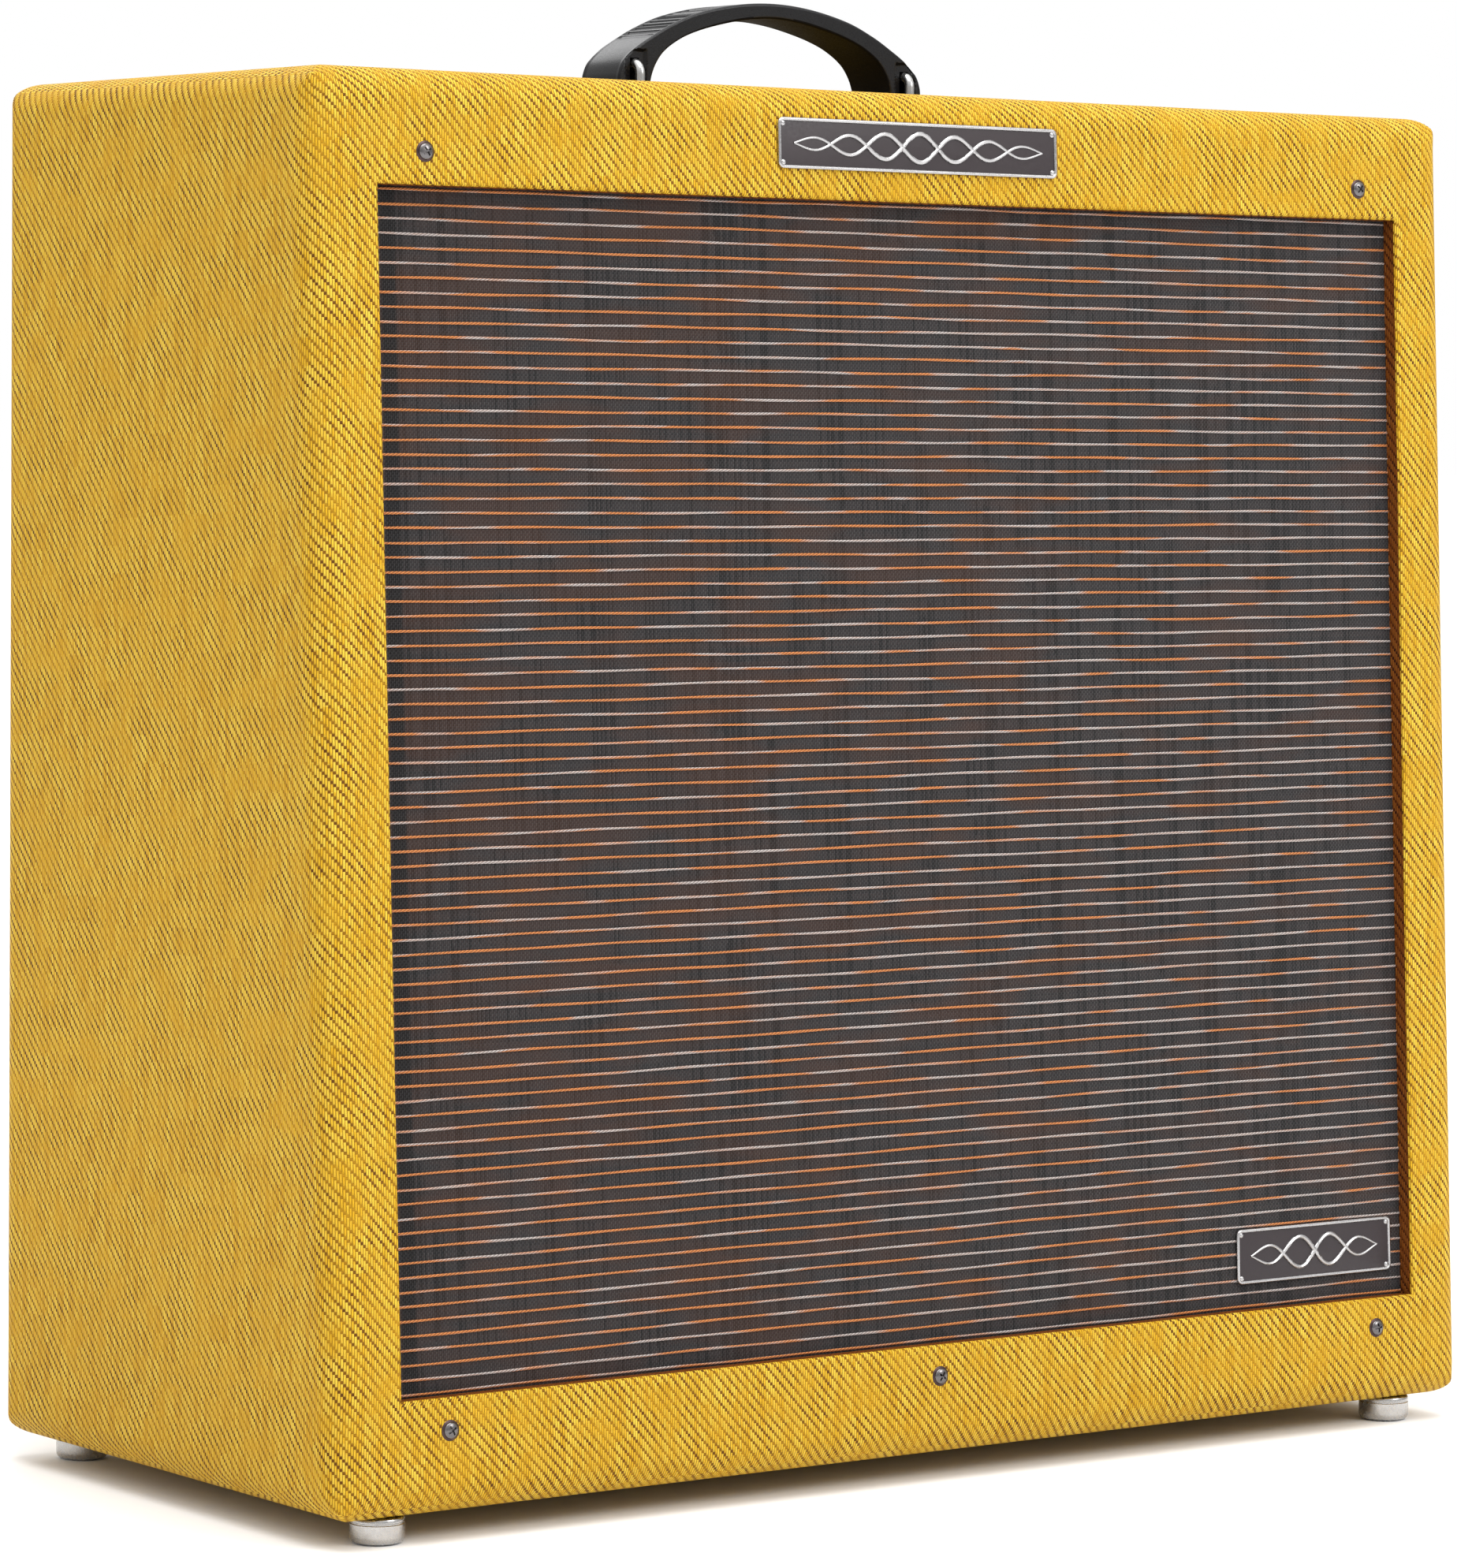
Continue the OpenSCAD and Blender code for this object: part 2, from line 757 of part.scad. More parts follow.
// Enclosed jack: threaded bushing above the panel, body below, one blind bore.
module input_jack(x) {
    color("#2a2a2a") at_panel(x) difference() {
        union() {
            block([-8, -10, -panel_t - 28], [8, 10, -panel_t]);
            translate([0, 0, -panel_t - 1]) cylinder(h = panel_t + 5, r = bushing_r, $fn = round_fn);
        }
        translate([0, 0, 4 - 31]) cylinder(h = 40, r = jack_bore_r, $fn = round_fn);
    }
}

module nut(across, hole, h) {
    difference() {
        cylinder(h = h, r = across / 2 / cos(30), $fn = hex_fn);
        translate([0, 0, -1]) cylinder(h = h + 2, r = hole, $fn = round_fn);
    }
}

module panel_nuts() {
    color("silver") {
        for (x = concat(knob_x, jack_x)) at_panel(x) nut(12.7, bushing_r + running, 2.2);
        for (x = [power_x, standby_x]) at_panel(x) nut(15, 6 + running, 2.2);
    }
}

// Recessed mains inlet with three blades.
module mains_inlet() {
    color("#222222") at_connector(inlet_x) {
        difference() {
            union() {
                block([-24, -13.5, 0], [24, 13.5, 2.4]);
                block([-13.8, -10.3, -18], [13.8, 10.3, 1]);
            }
            block([-12, -8, -15.5], [12, 8, 3]);
            for (side = [-1, 1]) translate([side * 19, 0, -2]) cylinder(h = 6, r = 1.7, $fn = 24);
        }
        for (p = [[-7, -1.5], [7, -1.5], [0, -4]])
            block([p.x - 1, p.y - 2, -16], [p.x + 1, p.y + 2, -3]);
    }
}

// Three-pin balanced line output, male, in a round shell.
module line_out_socket() {
    color("silver") at_connector(line_x) {
        difference() {
            union() {
                block([-13, -15.5, 0], [13, 15.5, 1.8]);
                translate([0, 0, -16]) cylinder(h = 17, r = 11, $fn = round_fn);
            }
            translate([0, 0, -13.5]) cylinder(h = 20, r = 9.3, $fn = round_fn);
            for (s = [-1, 1]) translate([s * 9.8, s * 12.3, -1]) cylinder(h = 4, r = 1.4, $fn = 24);
        }
        for (p = [[-3.8, -2], [3.8, -2], [0, -5.5]])
            translate([p.x, p.y, -14]) cylinder(h = 11, r = 1.2, $fn = 24);
    }
}

// ---------------------------------------------------------------- speakers

// Pressed basket: rim, four arms and neck, with the spider inside the neck.
module speaker_basket(i) {
    color("slategray") at_speaker(i) {
        difference() {
            rotate_extrude($fn = round_fn)
                polygon([
                    [109.5, gasket_t], [rim_r, gasket_t], [rim_r, gasket_t + rim_t],
                    [110, gasket_t + rim_t], [60, 42], [60, motor_z - glue_gap],
                    [20, motor_z - glue_gap], [20, 50.5], [58.5, 50.5], [58.5, 41.2]
                ]);
            for (k = [0:3])
                rotate(90 * k) translate([0, 0, 9]) linear_extrude(height = 36)
                    polygon([[50, -26], [106, -48], [106, 48], [50, 26]]);
            around_bolt_circle() translate([0, 0, -1]) cylinder(h = 12, r = 2.4, $fn = 24);
        }
        translate([0, 0, 47.5]) ring(58.3, coil_r + 0.6, 1);
    }
}

// Motor: top plate, ring magnet, and back plate with the vented pole piece.
module speaker_magnet(i) {
    plate_z = motor_z;
    magnet_z = plate_z + plate_steel_t + glue_gap;
    back_z = magnet_z + magnet_t + glue_gap;
    color("dimgray") at_speaker(i) {
        translate([0, 0, plate_z]) ring(46, 17.4, plate_steel_t);
        translate([0, 0, magnet_z]) ring(50, 24, magnet_t);
        difference() {
            union() {
                translate([0, 0, back_z]) cylinder(h = 6, r = 48, $fn = round_fn);
                translate([0, 0, 51]) cylinder(h = back_z - 50, r = 15.4, $fn = round_fn);
            }
            translate([0, 0, 40]) cylinder(h = 60, r = 4, $fn = round_fn);
        }
    }
}

// Moving cone: rolled edge, paper cone, dust cap and voice-coil former.
module speaker_cone(i) {
    cap_r = 28;
    color("#3a3632") at_speaker(i) {
        rotate_extrude($fn = round_fn) {
            polygon([[103.5, 1.6], [114, 1.6], [114, 2.6], [103.5, 2.6]]);
            for (r = [107, 111]) translate([r, 1.7]) circle(r = 1.3, $fn = 24);
            polygon([[104.5, 1.6], [104.5, 2.8], [18, 44.6], [coil_r, 44.6], [coil_r, 43.4]]);
        }
        translate([0, 0, 43]) ring(coil_r, 16, 15);
        intersection() {
            translate([0, 0, 34 + cap_r]) difference() {
                sphere(r = cap_r, $fn = round_fn);
                sphere(r = cap_r - 0.8, $fn = round_fn);
            }
            translate([0, 0, 30]) cylinder(h = 12.6, r = 19.8, $fn = round_fn);
        }
    }
}

module speaker_gaskets() {
    color("saddlebrown") for (i = [0:3])
        at_speaker(i) difference() {
            ring(rim_r, cutout_r, gasket_t);
            around_bolt_circle() translate([0, 0, -1]) cylinder(h = 12, r = 2.4, $fn = 24);
        }
}

module speaker_bolts() {
    color("silver") for (i = [0:3])
        at_speaker(i) around_bolt_circle() {
            translate([0, 0, -9.5]) cylinder(h = gasket_t + rim_t + 10, r = 2.1, $fn = 24);
            translate([0, 0, gasket_t + rim_t]) cylinder(h = 3, r = 4, $fn = hex_fn);
        }
}

// ---------------------------------------------------------------- nodes

side_board(-1);  // side_board_left
side_board(1);  // side_board_right
top_board();
bottom_board();
front_rail_top();
front_rail_bottom();
front_cleats();
tweed_cover();
baffle_board();
grille_cloth();
baffle_screws();
nameplate(plate_top, plate_pins_top, 0);  // nameplate_top
nameplate(plate_small, plate_pins_small, frame_depth);  // nameplate_small
glide_feet();
handle();
handle_bails();
upper_back_panel();
lower_back_panel();
back_cleats();
back_panel_screws();
chassis();
control_panel();
signal_board();
amplifier_board();
power_supply();
rotary_controls();
pointer_knob(knob_x[0]);  // knob_presence
pointer_knob(knob_x[1]);  // knob_middle
pointer_knob(knob_x[2]);  // knob_bass
pointer_knob(knob_x[3]);  // knob_treble
pointer_knob(knob_x[4]);  // knob_volume_bright
pointer_knob(knob_x[5]);  // knob_volume_normal
toggle_bodies();
toggle_lever(power_x);  // toggle_lever_power
toggle_lever(standby_x);  // toggle_lever_standby
pilot_lamp_holder();
pilot_jewel();
input_jack(jack_x[0]);  // input_jack_1
input_jack(jack_x[1]);  // input_jack_2
input_jack(jack_x[2]);  // input_jack_3
input_jack(jack_x[3]);  // input_jack_4
panel_nuts();
mains_inlet();
line_out_socket();
selector_knob();
speaker_basket(0);  // speaker_basket_1
speaker_basket(1);  // speaker_basket_2
speaker_basket(2);  // speaker_basket_3
speaker_basket(3);  // speaker_basket_4
speaker_magnet(0);  // speaker_magnet_1
speaker_magnet(1);  // speaker_magnet_2
speaker_magnet(2);  // speaker_magnet_3
speaker_magnet(3);  // speaker_magnet_4
speaker_cone(0);  // speaker_cone_1
speaker_cone(1);  // speaker_cone_2
speaker_cone(2);  // speaker_cone_3
speaker_cone(3);  // speaker_cone_4
speaker_gaskets();
speaker_bolts();
mounting_screws();
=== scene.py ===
"""The looks of an open-back guitar combo amplifier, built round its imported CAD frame."""
import json
import math
import random

import bmesh
import bpy
from mathutils import Matrix, Vector


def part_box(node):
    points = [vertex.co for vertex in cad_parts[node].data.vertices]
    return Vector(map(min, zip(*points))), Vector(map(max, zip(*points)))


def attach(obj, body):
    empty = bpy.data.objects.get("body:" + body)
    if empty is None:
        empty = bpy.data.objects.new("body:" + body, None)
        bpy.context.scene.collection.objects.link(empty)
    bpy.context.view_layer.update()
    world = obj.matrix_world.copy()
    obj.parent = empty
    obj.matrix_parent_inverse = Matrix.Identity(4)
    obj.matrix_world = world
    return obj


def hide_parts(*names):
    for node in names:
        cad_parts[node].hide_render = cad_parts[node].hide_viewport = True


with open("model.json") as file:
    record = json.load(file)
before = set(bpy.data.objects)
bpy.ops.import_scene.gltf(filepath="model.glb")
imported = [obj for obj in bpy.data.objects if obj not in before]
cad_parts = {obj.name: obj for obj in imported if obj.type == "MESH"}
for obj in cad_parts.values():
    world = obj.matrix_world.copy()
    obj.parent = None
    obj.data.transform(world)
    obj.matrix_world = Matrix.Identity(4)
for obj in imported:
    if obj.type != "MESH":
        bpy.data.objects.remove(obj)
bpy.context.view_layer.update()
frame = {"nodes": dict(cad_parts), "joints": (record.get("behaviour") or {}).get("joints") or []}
nodes = frame["nodes"]
joints = {j["name"]: j for j in frame["joints"]}
random.seed(4)

MM = 0.001
UV_NAME = "weave"

# ------------------------------------------------------------------ the cabinet's own sizes, in metres

cover_low, cover_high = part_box("tweed_cover")
half_w, y_back, z_top = cover_high
y_front, z_bottom = -y_back, cover_low.z
cone_axis = joints["cone_1_travel"]["axis"]
lean = math.atan2(-cone_axis[2], cone_axis[1])
cos_lean, sin_lean = math.cos(lean), math.sin(lean)
edge_r = 14 * MM
lip_r = 1.6 * MM
wall = 19.2 * MM
window_half_w = 267.5 * MM
window_low, window_high = 47 * MM, 522 * MM
window_depth = 8 * MM
well_half_w, well_y0, well_y1 = 243 * MM, 56 * MM, 114 * MM
panel_y, panel_z = 85 * MM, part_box("control_panel")[1].z
rear_y, rear_z = 120 * MM, 530 * MM


def front_point(x, depth, up):
    """A point of the leaning front: across, behind its face, and up along it."""
    y = y_front + depth * cos_lean + up * sin_lean
    z = z_bottom - depth * sin_lean + up * cos_lean
    return Vector((x, y, z))


def shift(x, y, z=0.0):
    """A move, in millimetres."""
    return Matrix.Translation((x * MM, y * MM, z * MM))


def turn(degrees, axis):
    return Matrix.Rotation(math.radians(degrees), 4, axis)


FRONT = Matrix.Translation(front_point(0, 0, 0)) @ Matrix.Rotation(-lean, 4, "X")


def on_front(x, up, depth=0.0):
    """Axes on the leaning front with +Z outwards. Its places are in millimetres, like those of
    the next two."""
    return FRONT @ shift(x, depth, up) @ turn(90, "X")


def on_panel(x):
    """Axes on the control panel with +Z up."""
    return Matrix.Translation((x * MM, panel_y, panel_z))


def on_rear_wall(x):
    """Axes on the chassis's rear wall with +Z towards the back."""
    return Matrix.Translation((x * MM, rear_y, rear_z)) @ turn(-90, "X")


def middle_and_size(node):
    low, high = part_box(node)
    return (low + high) / 2, high - low


# ------------------------------------------------------------------ making pieces
# Outlines, profiles, paths and widths are in millimetres. Only the covering and the grille,
# which follow the cabinet's own sizes, are worked out in metres.

def link(name, mesh):
    piece = bpy.data.objects.new(name, mesh)
    bpy.context.scene.collection.objects.link(piece)
    return piece


def finished(piece, slot, look=None, replaces=None, body="cabinet", smooth=30):
    """Material, body and slot of a finished piece, with its sharp edges kept sharp. The look is
    the slot's own one if none is named, and a piece that already has materials keeps them."""
    if not piece.data.materials:
        piece.data.materials.append(MATERIALS[look or slot])
    if smooth:
        piece.data.polygons.foreach_set("use_smooth", [True] * len(piece.data.polygons))
        piece.data.set_sharp_from_angle(angle=math.radians(smooth))
    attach(piece, body)
    if replaces:
        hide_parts(replaces)
    return piece


def modified(piece, kind, **settings):
    """The piece with one modifier applied to its mesh."""
    modifier = piece.modifiers.new(kind, kind)
    for key, value in settings.items():
        setattr(modifier, key, value)
    bpy.context.view_layer.update()
    graph = bpy.context.evaluated_depsgraph_get()
    mesh = bpy.data.meshes.new_from_object(piece.evaluated_get(graph), depsgraph=graph)
    piece.modifiers.clear()
    piece.data = mesh
    return piece


def bevelled(piece, width, segments=3, angle=30):
    """The piece with its edges sharper than an angle rounded to a width in millimetres."""
    return modified(piece, "BEVEL", width=width * MM, segments=segments, limit_method="ANGLE",
                    angle_limit=math.radians(angle), harden_normals=False)


def thickened(piece, thickness):
    return modified(piece, "SOLIDIFY", thickness=thickness * MM, offset=-1, use_even_offset=True)


def cut(piece, cutter):
    modified(piece, "BOOLEAN", operation="DIFFERENCE", solver="EXACT", object=cutter)
    bpy.data.objects.remove(cutter)
    return piece


def joined(name, pieces):
    """One piece from several, in the frame's coordinates."""
    mesh = bpy.data.meshes.new(name)
    build = bmesh.new()
    for p in pieces:
        p.data.transform(p.matrix_world)
        build.from_mesh(p.data)
        bpy.data.objects.remove(p)
    build.to_mesh(mesh)
    build.free()
    return link(name, mesh)


def mesh_of(name, build, tidy_normals=True):
    if tidy_normals:
        bmesh.ops.recalc_face_normals(build, faces=build.faces)
    mesh = bpy.data.meshes.new(name)
    build.to_mesh(mesh)
    build.free()
    return link(name, mesh)


def band(build, a, b, uv=None):
    """Faces between two closed rings of vertices. With uv, rings hold (vertex, woven place) pairs."""
    for k in range(len(a)):
        corners = [a[k - 1], a[k], b[k], b[k - 1]]
        if uv:
            woven_face(build, corners, uv)
        else:
            unique = list(dict.fromkeys(corners))
            if len(unique) > 2:
                build.faces.new(unique)


def woven_face(build, corners, uv):
    """A face from (vertex, woven place) pairs."""
    face = build.faces.new([v for v, _ in corners])
    for loop, (_, woven) in zip(face.loops, corners):
        loop[uv].uv = woven


def box_piece(name, low, high, matrix):
    """A box between two corners, in millimetres of the matrix's axes."""
    build = bmesh.new()
    bmesh.ops.create_cube(build, size=1)
    for v in build.verts:
        v.co = matrix @ (Vector([a + (c + 0.5) * (b - a) for a, b, c in zip(low, high, v.co)]) * MM)
    return mesh_of(name, build)


def lathed(name, profile, matrix=Matrix(), steps=64, ring=False):
    """A turned piece from (radius, height) points. A radius may be a function of the angle,
    and with ring the profile closes on itself round a hole."""
    build = bmesh.new()
    angles = [2 * math.pi * k / steps for k in range(steps)]
    rings = []
    for radius, height in profile:
        if radius == 0:
            rings.append([build.verts.new(matrix @ Vector((0, 0, height * MM)))] * steps)
            continue
        reaches = [radius(a) if callable(radius) else radius for a in angles]
        around = [Vector((r * math.cos(a), r * math.sin(a), height)) * MM for r, a in zip(reaches, angles)]
        rings.append([build.verts.new(matrix @ place) for place in around])
    for lower, upper in zip(rings, rings[1:] + rings[:1] if ring else rings[1:]):
        band(build, lower, upper)
    return mesh_of(name, build)


def tube(name, points, radius, matrix=Matrix(), sides=12, closed=False):
    """A round bar that follows points, with a steady twist-free frame. The radius may be a
    function of the share of the way along."""
    build = bmesh.new()
    points = [matrix @ (Vector(p) * MM) for p in points]
    count = len(points)
    rings = []
    side = None
    for k, p in enumerate(points):
        before = points[k - 1] if closed or k else p
        after = points[(k + 1) % count] if closed or k < count - 1 else p
        along = (after - before).normalized()
        if side is None:
            side = along.orthogonal().normalized()
        side = (side - along * side.dot(along)).normalized()
        other = along.cross(side)
        r = MM * (radius(k / (count - 1)) if callable(radius) else radius)
        rings.append([
            build.verts.new(p + r * (math.cos(a) * side + math.sin(a) * other))
            for a in [2 * math.pi * s / sides for s in range(sides)]
        ])
    for a, b in zip(rings, rings[1:]):
        band(build, a, b)
    if closed:
        band(build, rings[-1], rings[0])
    else:
        build.faces.new(rings[0])
        build.faces.new(rings[-1])
    return mesh_of(name, build)


def rounded_outline(width, height, radius, steps=6):
    """Corner-rounded rectangle about the origin, as (a, b) points in millimetres."""
    points = []
    for k, (a, b) in enumerate(((1, 1), (-1, 1), (-1, -1), (1, -1))):
        for i in range(steps + 1):
            angle = math.pi / 2 * (k + i / steps)
            points.append((
                a * (width / 2 - radius) + radius * math.cos(angle),
                b * (height / 2 - radius) + radius * math.sin(angle),
            ))
    return points


def circle(radius, count):
    angles = [2 * math.pi * k / count for k in range(count)]
    return [(radius * math.cos(a), radius * math.sin(a)) for a in angles]


def slab(name, outline, low, high, matrix=Matrix(), bevel=0.0, segments=3):
    """A flat piece from an (a, b) outline, between two heights of the matrix's Z."""
    build = bmesh.new()
    ends = [[build.verts.new(matrix @ (Vector((a, b, h)) * MM)) for a, b in outline] for h in (low, high)]
    build.faces.new(ends[0])
    build.faces.new(ends[1])
    band(build, *ends)
    piece = mesh_of(name, build)
    return bevelled(piece, bevel, segments, 50) if bevel else piece


def spline(points, steps, closed=False):
    """A smooth path through points, with the same number of steps between each two."""
    points = [Vector(p) for p in points]
    count = len(points)
    path = []
    for k in range(count if closed else count - 1):
        if closed:
            a, b, c, d = (points[(k + j) % count] for j in (-1, 0, 1, 2))
        else:
            b, c = points[k], points[k + 1]
            a = points[k - 1] if k else 2 * b - c
            d = points[k + 2] if k + 2 < count else 2 * c - b
        for t in [i / steps for i in range(steps)]:
            straight, bent = 2 * b + (c - a) * t, (2 * a - 5 * b + 4 * c - d) * t * t
            path.append((straight + bent + (3 * b - a - 3 * c + d) * t ** 3) / 2)
    return path if closed else path + [points[-1]]


def smoothstep(low, high, value):
    t = min(1, max(0, (value - low) / (high - low)))
    return t * t * (3 - 2 * t)


# ------------------------------------------------------------------ shader building

def srgb(red, green, blue):
    """A linear colour from 0 to 255 screen values."""
    channels = [c / 255 for c in (red, green, blue)]
    return (*[c / 12.92 if c <= 0.04045 else ((c + 0.055) / 1.055) ** 2.4 for c in channels], 1)


def scaled_colour(colour, by, plus=0.0):
    return [min(1, c * by + plus) for c in colour[:3]] + [1]


class Value:
    """What a node gives. Arithmetic on it adds the nodes that work it out."""

    def __init__(self, graph, socket):
        self.graph = graph
        self.socket = socket

    def __add__(self, other):
        return self.graph.math("ADD", self, other)

    def __sub__(self, other):
        return self.graph.math("SUBTRACT", self, other)

    def __rsub__(self, other):
        return self.graph.math("SUBTRACT", other, self)

    def __mul__(self, other):
        return self.graph.math("MULTIPLY", self, other)

    def __truediv__(self, other):
        return self.graph.math("DIVIDE", self, other)

    def __mod__(self, other):
        return self.graph.math("FLOORED_MODULO", self, other)

    def __pow__(self, other):
        return self.graph.math("POWER", self, other)

    def __abs__(self):
        return self.graph.math("ABSOLUTE", self)

    def __floor__(self):
        return self.graph.math("FLOOR", self)


class Graph:
    """The node tree of a material or a world, with a short way to add each kind of node."""

    def __init__(self, name, world=False, **sockets):
        self.made = (bpy.data.worlds if world else bpy.data.materials).new(name)
        self.made.use_nodes = True
        self.tree = self.made.node_tree
        self.shader = self.tree.nodes["Background" if world else "Principled BSDF"]
        for socket, value in sockets.items():
            self.shader.inputs[socket.replace("_", " ")].default_value = value

    def node(self, kind, **settings):
        made = self.tree.nodes.new(kind)
        for key, value in settings.items():
            setattr(made, key, value)
        return made

    def feed(self, socket, value):
        if isinstance(value, Value):
            self.tree.links.new(value.socket, socket)
        else:
            socket.default_value = value

    def feed_all(self, sockets, values):
        for socket, value in zip(sockets, values):
            self.feed(socket, value)

    def math(self, operation, *values):
        made = self.node("ShaderNodeMath", operation=operation)
        self.feed_all(made.inputs, values)
        return Value(self, made.outputs[0])

    def mix(self, factor, a, b, blend="MIX"):
        made = self.node("ShaderNodeMix", data_type="RGBA", blend_type=blend)
        self.feed_all([made.inputs[k] for k in ("Factor", "A", "B")], (factor, a, b))
        return Value(self, next(o for o in made.outputs if o.type == "RGBA"))

    def span(self, value, low, high, to_low=0.0, to_high=1.0, smooth=False):
        made = self.node("ShaderNodeMapRange", interpolation_type="SMOOTHSTEP" if smooth else "LINEAR")
        self.feed_all(made.inputs, (value, low, high, to_low, to_high))
        return Value(self, made.outputs[0])

    def ramp(self, value, *stops):
        """A colour between two (place, colour) stops."""
        made = self.node("ShaderNodeValToRGB")
        self.feed(made.inputs[0], value)
        for element, (place, colour) in zip(made.color_ramp.elements, stops):
            element.position = place
            element.color = colour
        return Value(self, made.outputs[0])

    def vector(self, x, y, z=0.0):
        made = self.node("ShaderNodeCombineXYZ")
        self.feed_all(made.inputs, (x, y, z))
        return Value(self, made.outputs[0])

    def split(self, vector):
        made = self.node("ShaderNodeSeparateXYZ")
        self.feed(made.inputs[0], vector)
        return [Value(self, output) for output in made.outputs]

    def noise(self, vector, scale, detail=2.0, roughness=0.5):
        made = self.node("ShaderNodeTexNoise")
        keys = ("Vector", "Scale", "Detail", "Roughness")
        self.feed_all([made.inputs[k] for k in keys], (vector, scale, detail, roughness))
        return Value(self, made.outputs[0])

    def white(self, *place):
        made = self.node("ShaderNodeTexWhiteNoise", noise_dimensions="3D")
        self.feed(made.inputs["Vector"], self.vector(*place))
        return Value(self, made.outputs["Value"])

    def place(self, kind="Object"):
        return Value(self, self.node("ShaderNodeTexCoord").outputs[kind])

    def uv(self):
        return Value(self, self.node("ShaderNodeUVMap", uv_map=UV_NAME).outputs[0])

    def scaled(self, vector, by):
        made = self.node("ShaderNodeVectorMath", operation="MULTIPLY")
        self.feed_all(made.inputs, (vector, by))
        return Value(self, made.outputs[0])

    def bulge(self, position):
        """Height of round threads laid side by side, one to each whole number."""
        across = self.math("FRACT", position) * 2 - 1
        return 1 - across * across

    def finish(self, colour, rough=None, height=None, distance=0.0, strength=1.0):
        """The material, with its colour, roughness and bumps (distance in metres)."""
        self.feed(self.shader.inputs["Base Color"], colour)
        if rough is not None:
            self.feed(self.shader.inputs["Roughness"], rough)
        if height is not None:
            made = self.node("ShaderNodeBump")
            made.inputs["Distance"].default_value = distance
            made.inputs["Strength"].default_value = strength
            self.feed(made.inputs["Height"], height)
            self.tree.links.new(made.outputs[0], self.shader.inputs["Normal"])
        return self.made


# ------------------------------------------------------------------ materials

# The pit colour is painted shade where a warp's height falls, and also the darker brown of the weft yarns.
TWEED_BROWN_AND_PIT_SHADE = srgb(126, 82, 0)
TWEED_WEFT = srgb(88, 50, 0)
TWEED_GOLD = srgb(228, 179, 30)
TWEED_LIGHT = srgb(255, 230, 96)
TWEED_FILLED = srgb(204, 154, 18)


def tweed(name, by_uv=True, stain=None):
    """Lacquered twill: gold warps that float over three wefts, stepping one warp a weft, with painted shade
    in the pits between them.
    """
    g = Graph(name, Specular_IOR_Level=0.18)
    x, y, z = g.split(g.uv() if by_uv else g.place())
    across, up = x, y if by_uv else z
    flat = g.vector(across, up)
    across = across + (g.noise(flat, 9, 1) - 0.5) * (5 * MM)
    warp, weft = across / (1.11 * MM), up / (1.22 * MM)
    warp_number, weft_number = math.floor(warp), math.floor(weft)
    step = (warp_number + weft) % 4
    weft_shows = g.math("LESS_THAN", step, 1.0)

    dip = 1 - abs((step - 2.5) / 1.5) ** 2.5
    warp_height = g.bulge(warp) ** 0.6 * (dip * 0.65 + 0.35)
    height = g.mix(weft_shows, warp_height, g.bulge(weft) * 0.3)

    yarn = g.white(warp_number, math.floor(up / (11 * MM)))
    weft_yarn = g.white(weft_number, math.floor(across / (17 * MM)), 5.0)
    # Painted shade: each warp darkens towards the pit colour where its height falls, at its edges and where
    # it dips under a weft.
    gold = g.mix(yarn * 0.4, g.mix(warp_height, TWEED_BROWN_AND_PIT_SHADE, TWEED_GOLD), TWEED_LIGHT)
    woven = g.mix(weft_shows, gold, g.mix(weft_yarn, TWEED_WEFT, TWEED_BROWN_AND_PIT_SHADE))
    patches = g.noise(flat, 60, 3, 0.6)
    woven = g.mix(g.span(patches, 0.42, 0.66, 0, 0.55), woven, TWEED_FILLED)
    fibre = g.noise(g.scaled(flat, (2600, 700, 1)), 1, 3, 0.7)
    woven = g.mix(g.span(fibre, 0.3, 0.75, 0, 0.2), woven, srgb(150, 102, 14), "MULTIPLY")
    # A shaded copy: this colour darkens the whole weave as painted shade.
    if stain:
        woven = g.mix(1.0, woven, stain, "MULTIPLY")
    return g.finish(woven, g.span(height, 0, 1, 0.7, 0.5), height + fibre * 0.15, 0.0006)


def fading_right(g, warm_share, across):
    """More of the warm colour at the cloth's left side than at its right."""
    return warm_share + g.span(across, -window_half_w, window_half_w, 0.06, -0.06)


def grille_base():
    """Dark plain-woven cloth, oxblood against near black, with a near-black band of painted shade down its
    left side.
    """
    g = Graph("grille_base", Specular_IOR_Level=0.2, Sheen_Weight=0.15, Sheen_Roughness=0.5)
    across, up, _ = g.split(g.uv())
    column, row = across / (0.96 * MM), up / (0.96 * MM)
    column_number, row_number = math.floor(column), math.floor(row)
    over = (column_number + row_number) % 2
    height = g.bulge(column) * over + g.bulge(row) * (1 - over)
    warp_colour = g.mix(g.white(column_number, 1.0), srgb(46, 43, 43), srgb(34, 32, 33))
    weft_colour = g.mix(g.white(row_number, 7.0), srgb(42, 36, 36), srgb(31, 29, 30))
    woven = g.mix(over, weft_colour, warp_colour)
    crowding = g.span(g.noise(g.vector(across * 3, up), 24, 2), 0.4, 0.62, 1.0, 0.55)
    dark_thread = g.math("GREATER_THAN", g.white(column_number, 3.0), crowding)
    woven = g.mix(dark_thread * 0.7, woven, srgb(8, 7, 8))
    warm_share = fading_right(g, g.noise(g.vector(across, up * 3), 14, 3), across)
    woven = g.mix(g.span(warm_share, 0.46, 0.64, 0, 0.45), woven, srgb(60, 36, 24))
    # Painted shade: a near-black band 9 mm in from the cloth's left edge.
    from_shade_band = abs(across + (window_half_w - 9 * MM))
    woven = g.mix(g.span(from_shade_band, 2.5 * MM, 4.5 * MM, 0.92, 0, smooth=True), woven, srgb(12, 10, 11))
    shade = g.ramp(g.span(height, 0, 0.9, 0.45, 1.1), (0, (0.3, 0.3, 0.3, 1)), (1, (1.1, 1.1, 1.1, 1)))
    return g.finish(g.mix(1.0, woven, shade, "MULTIPLY"), 0.86, height, 0.0003, 0.7)


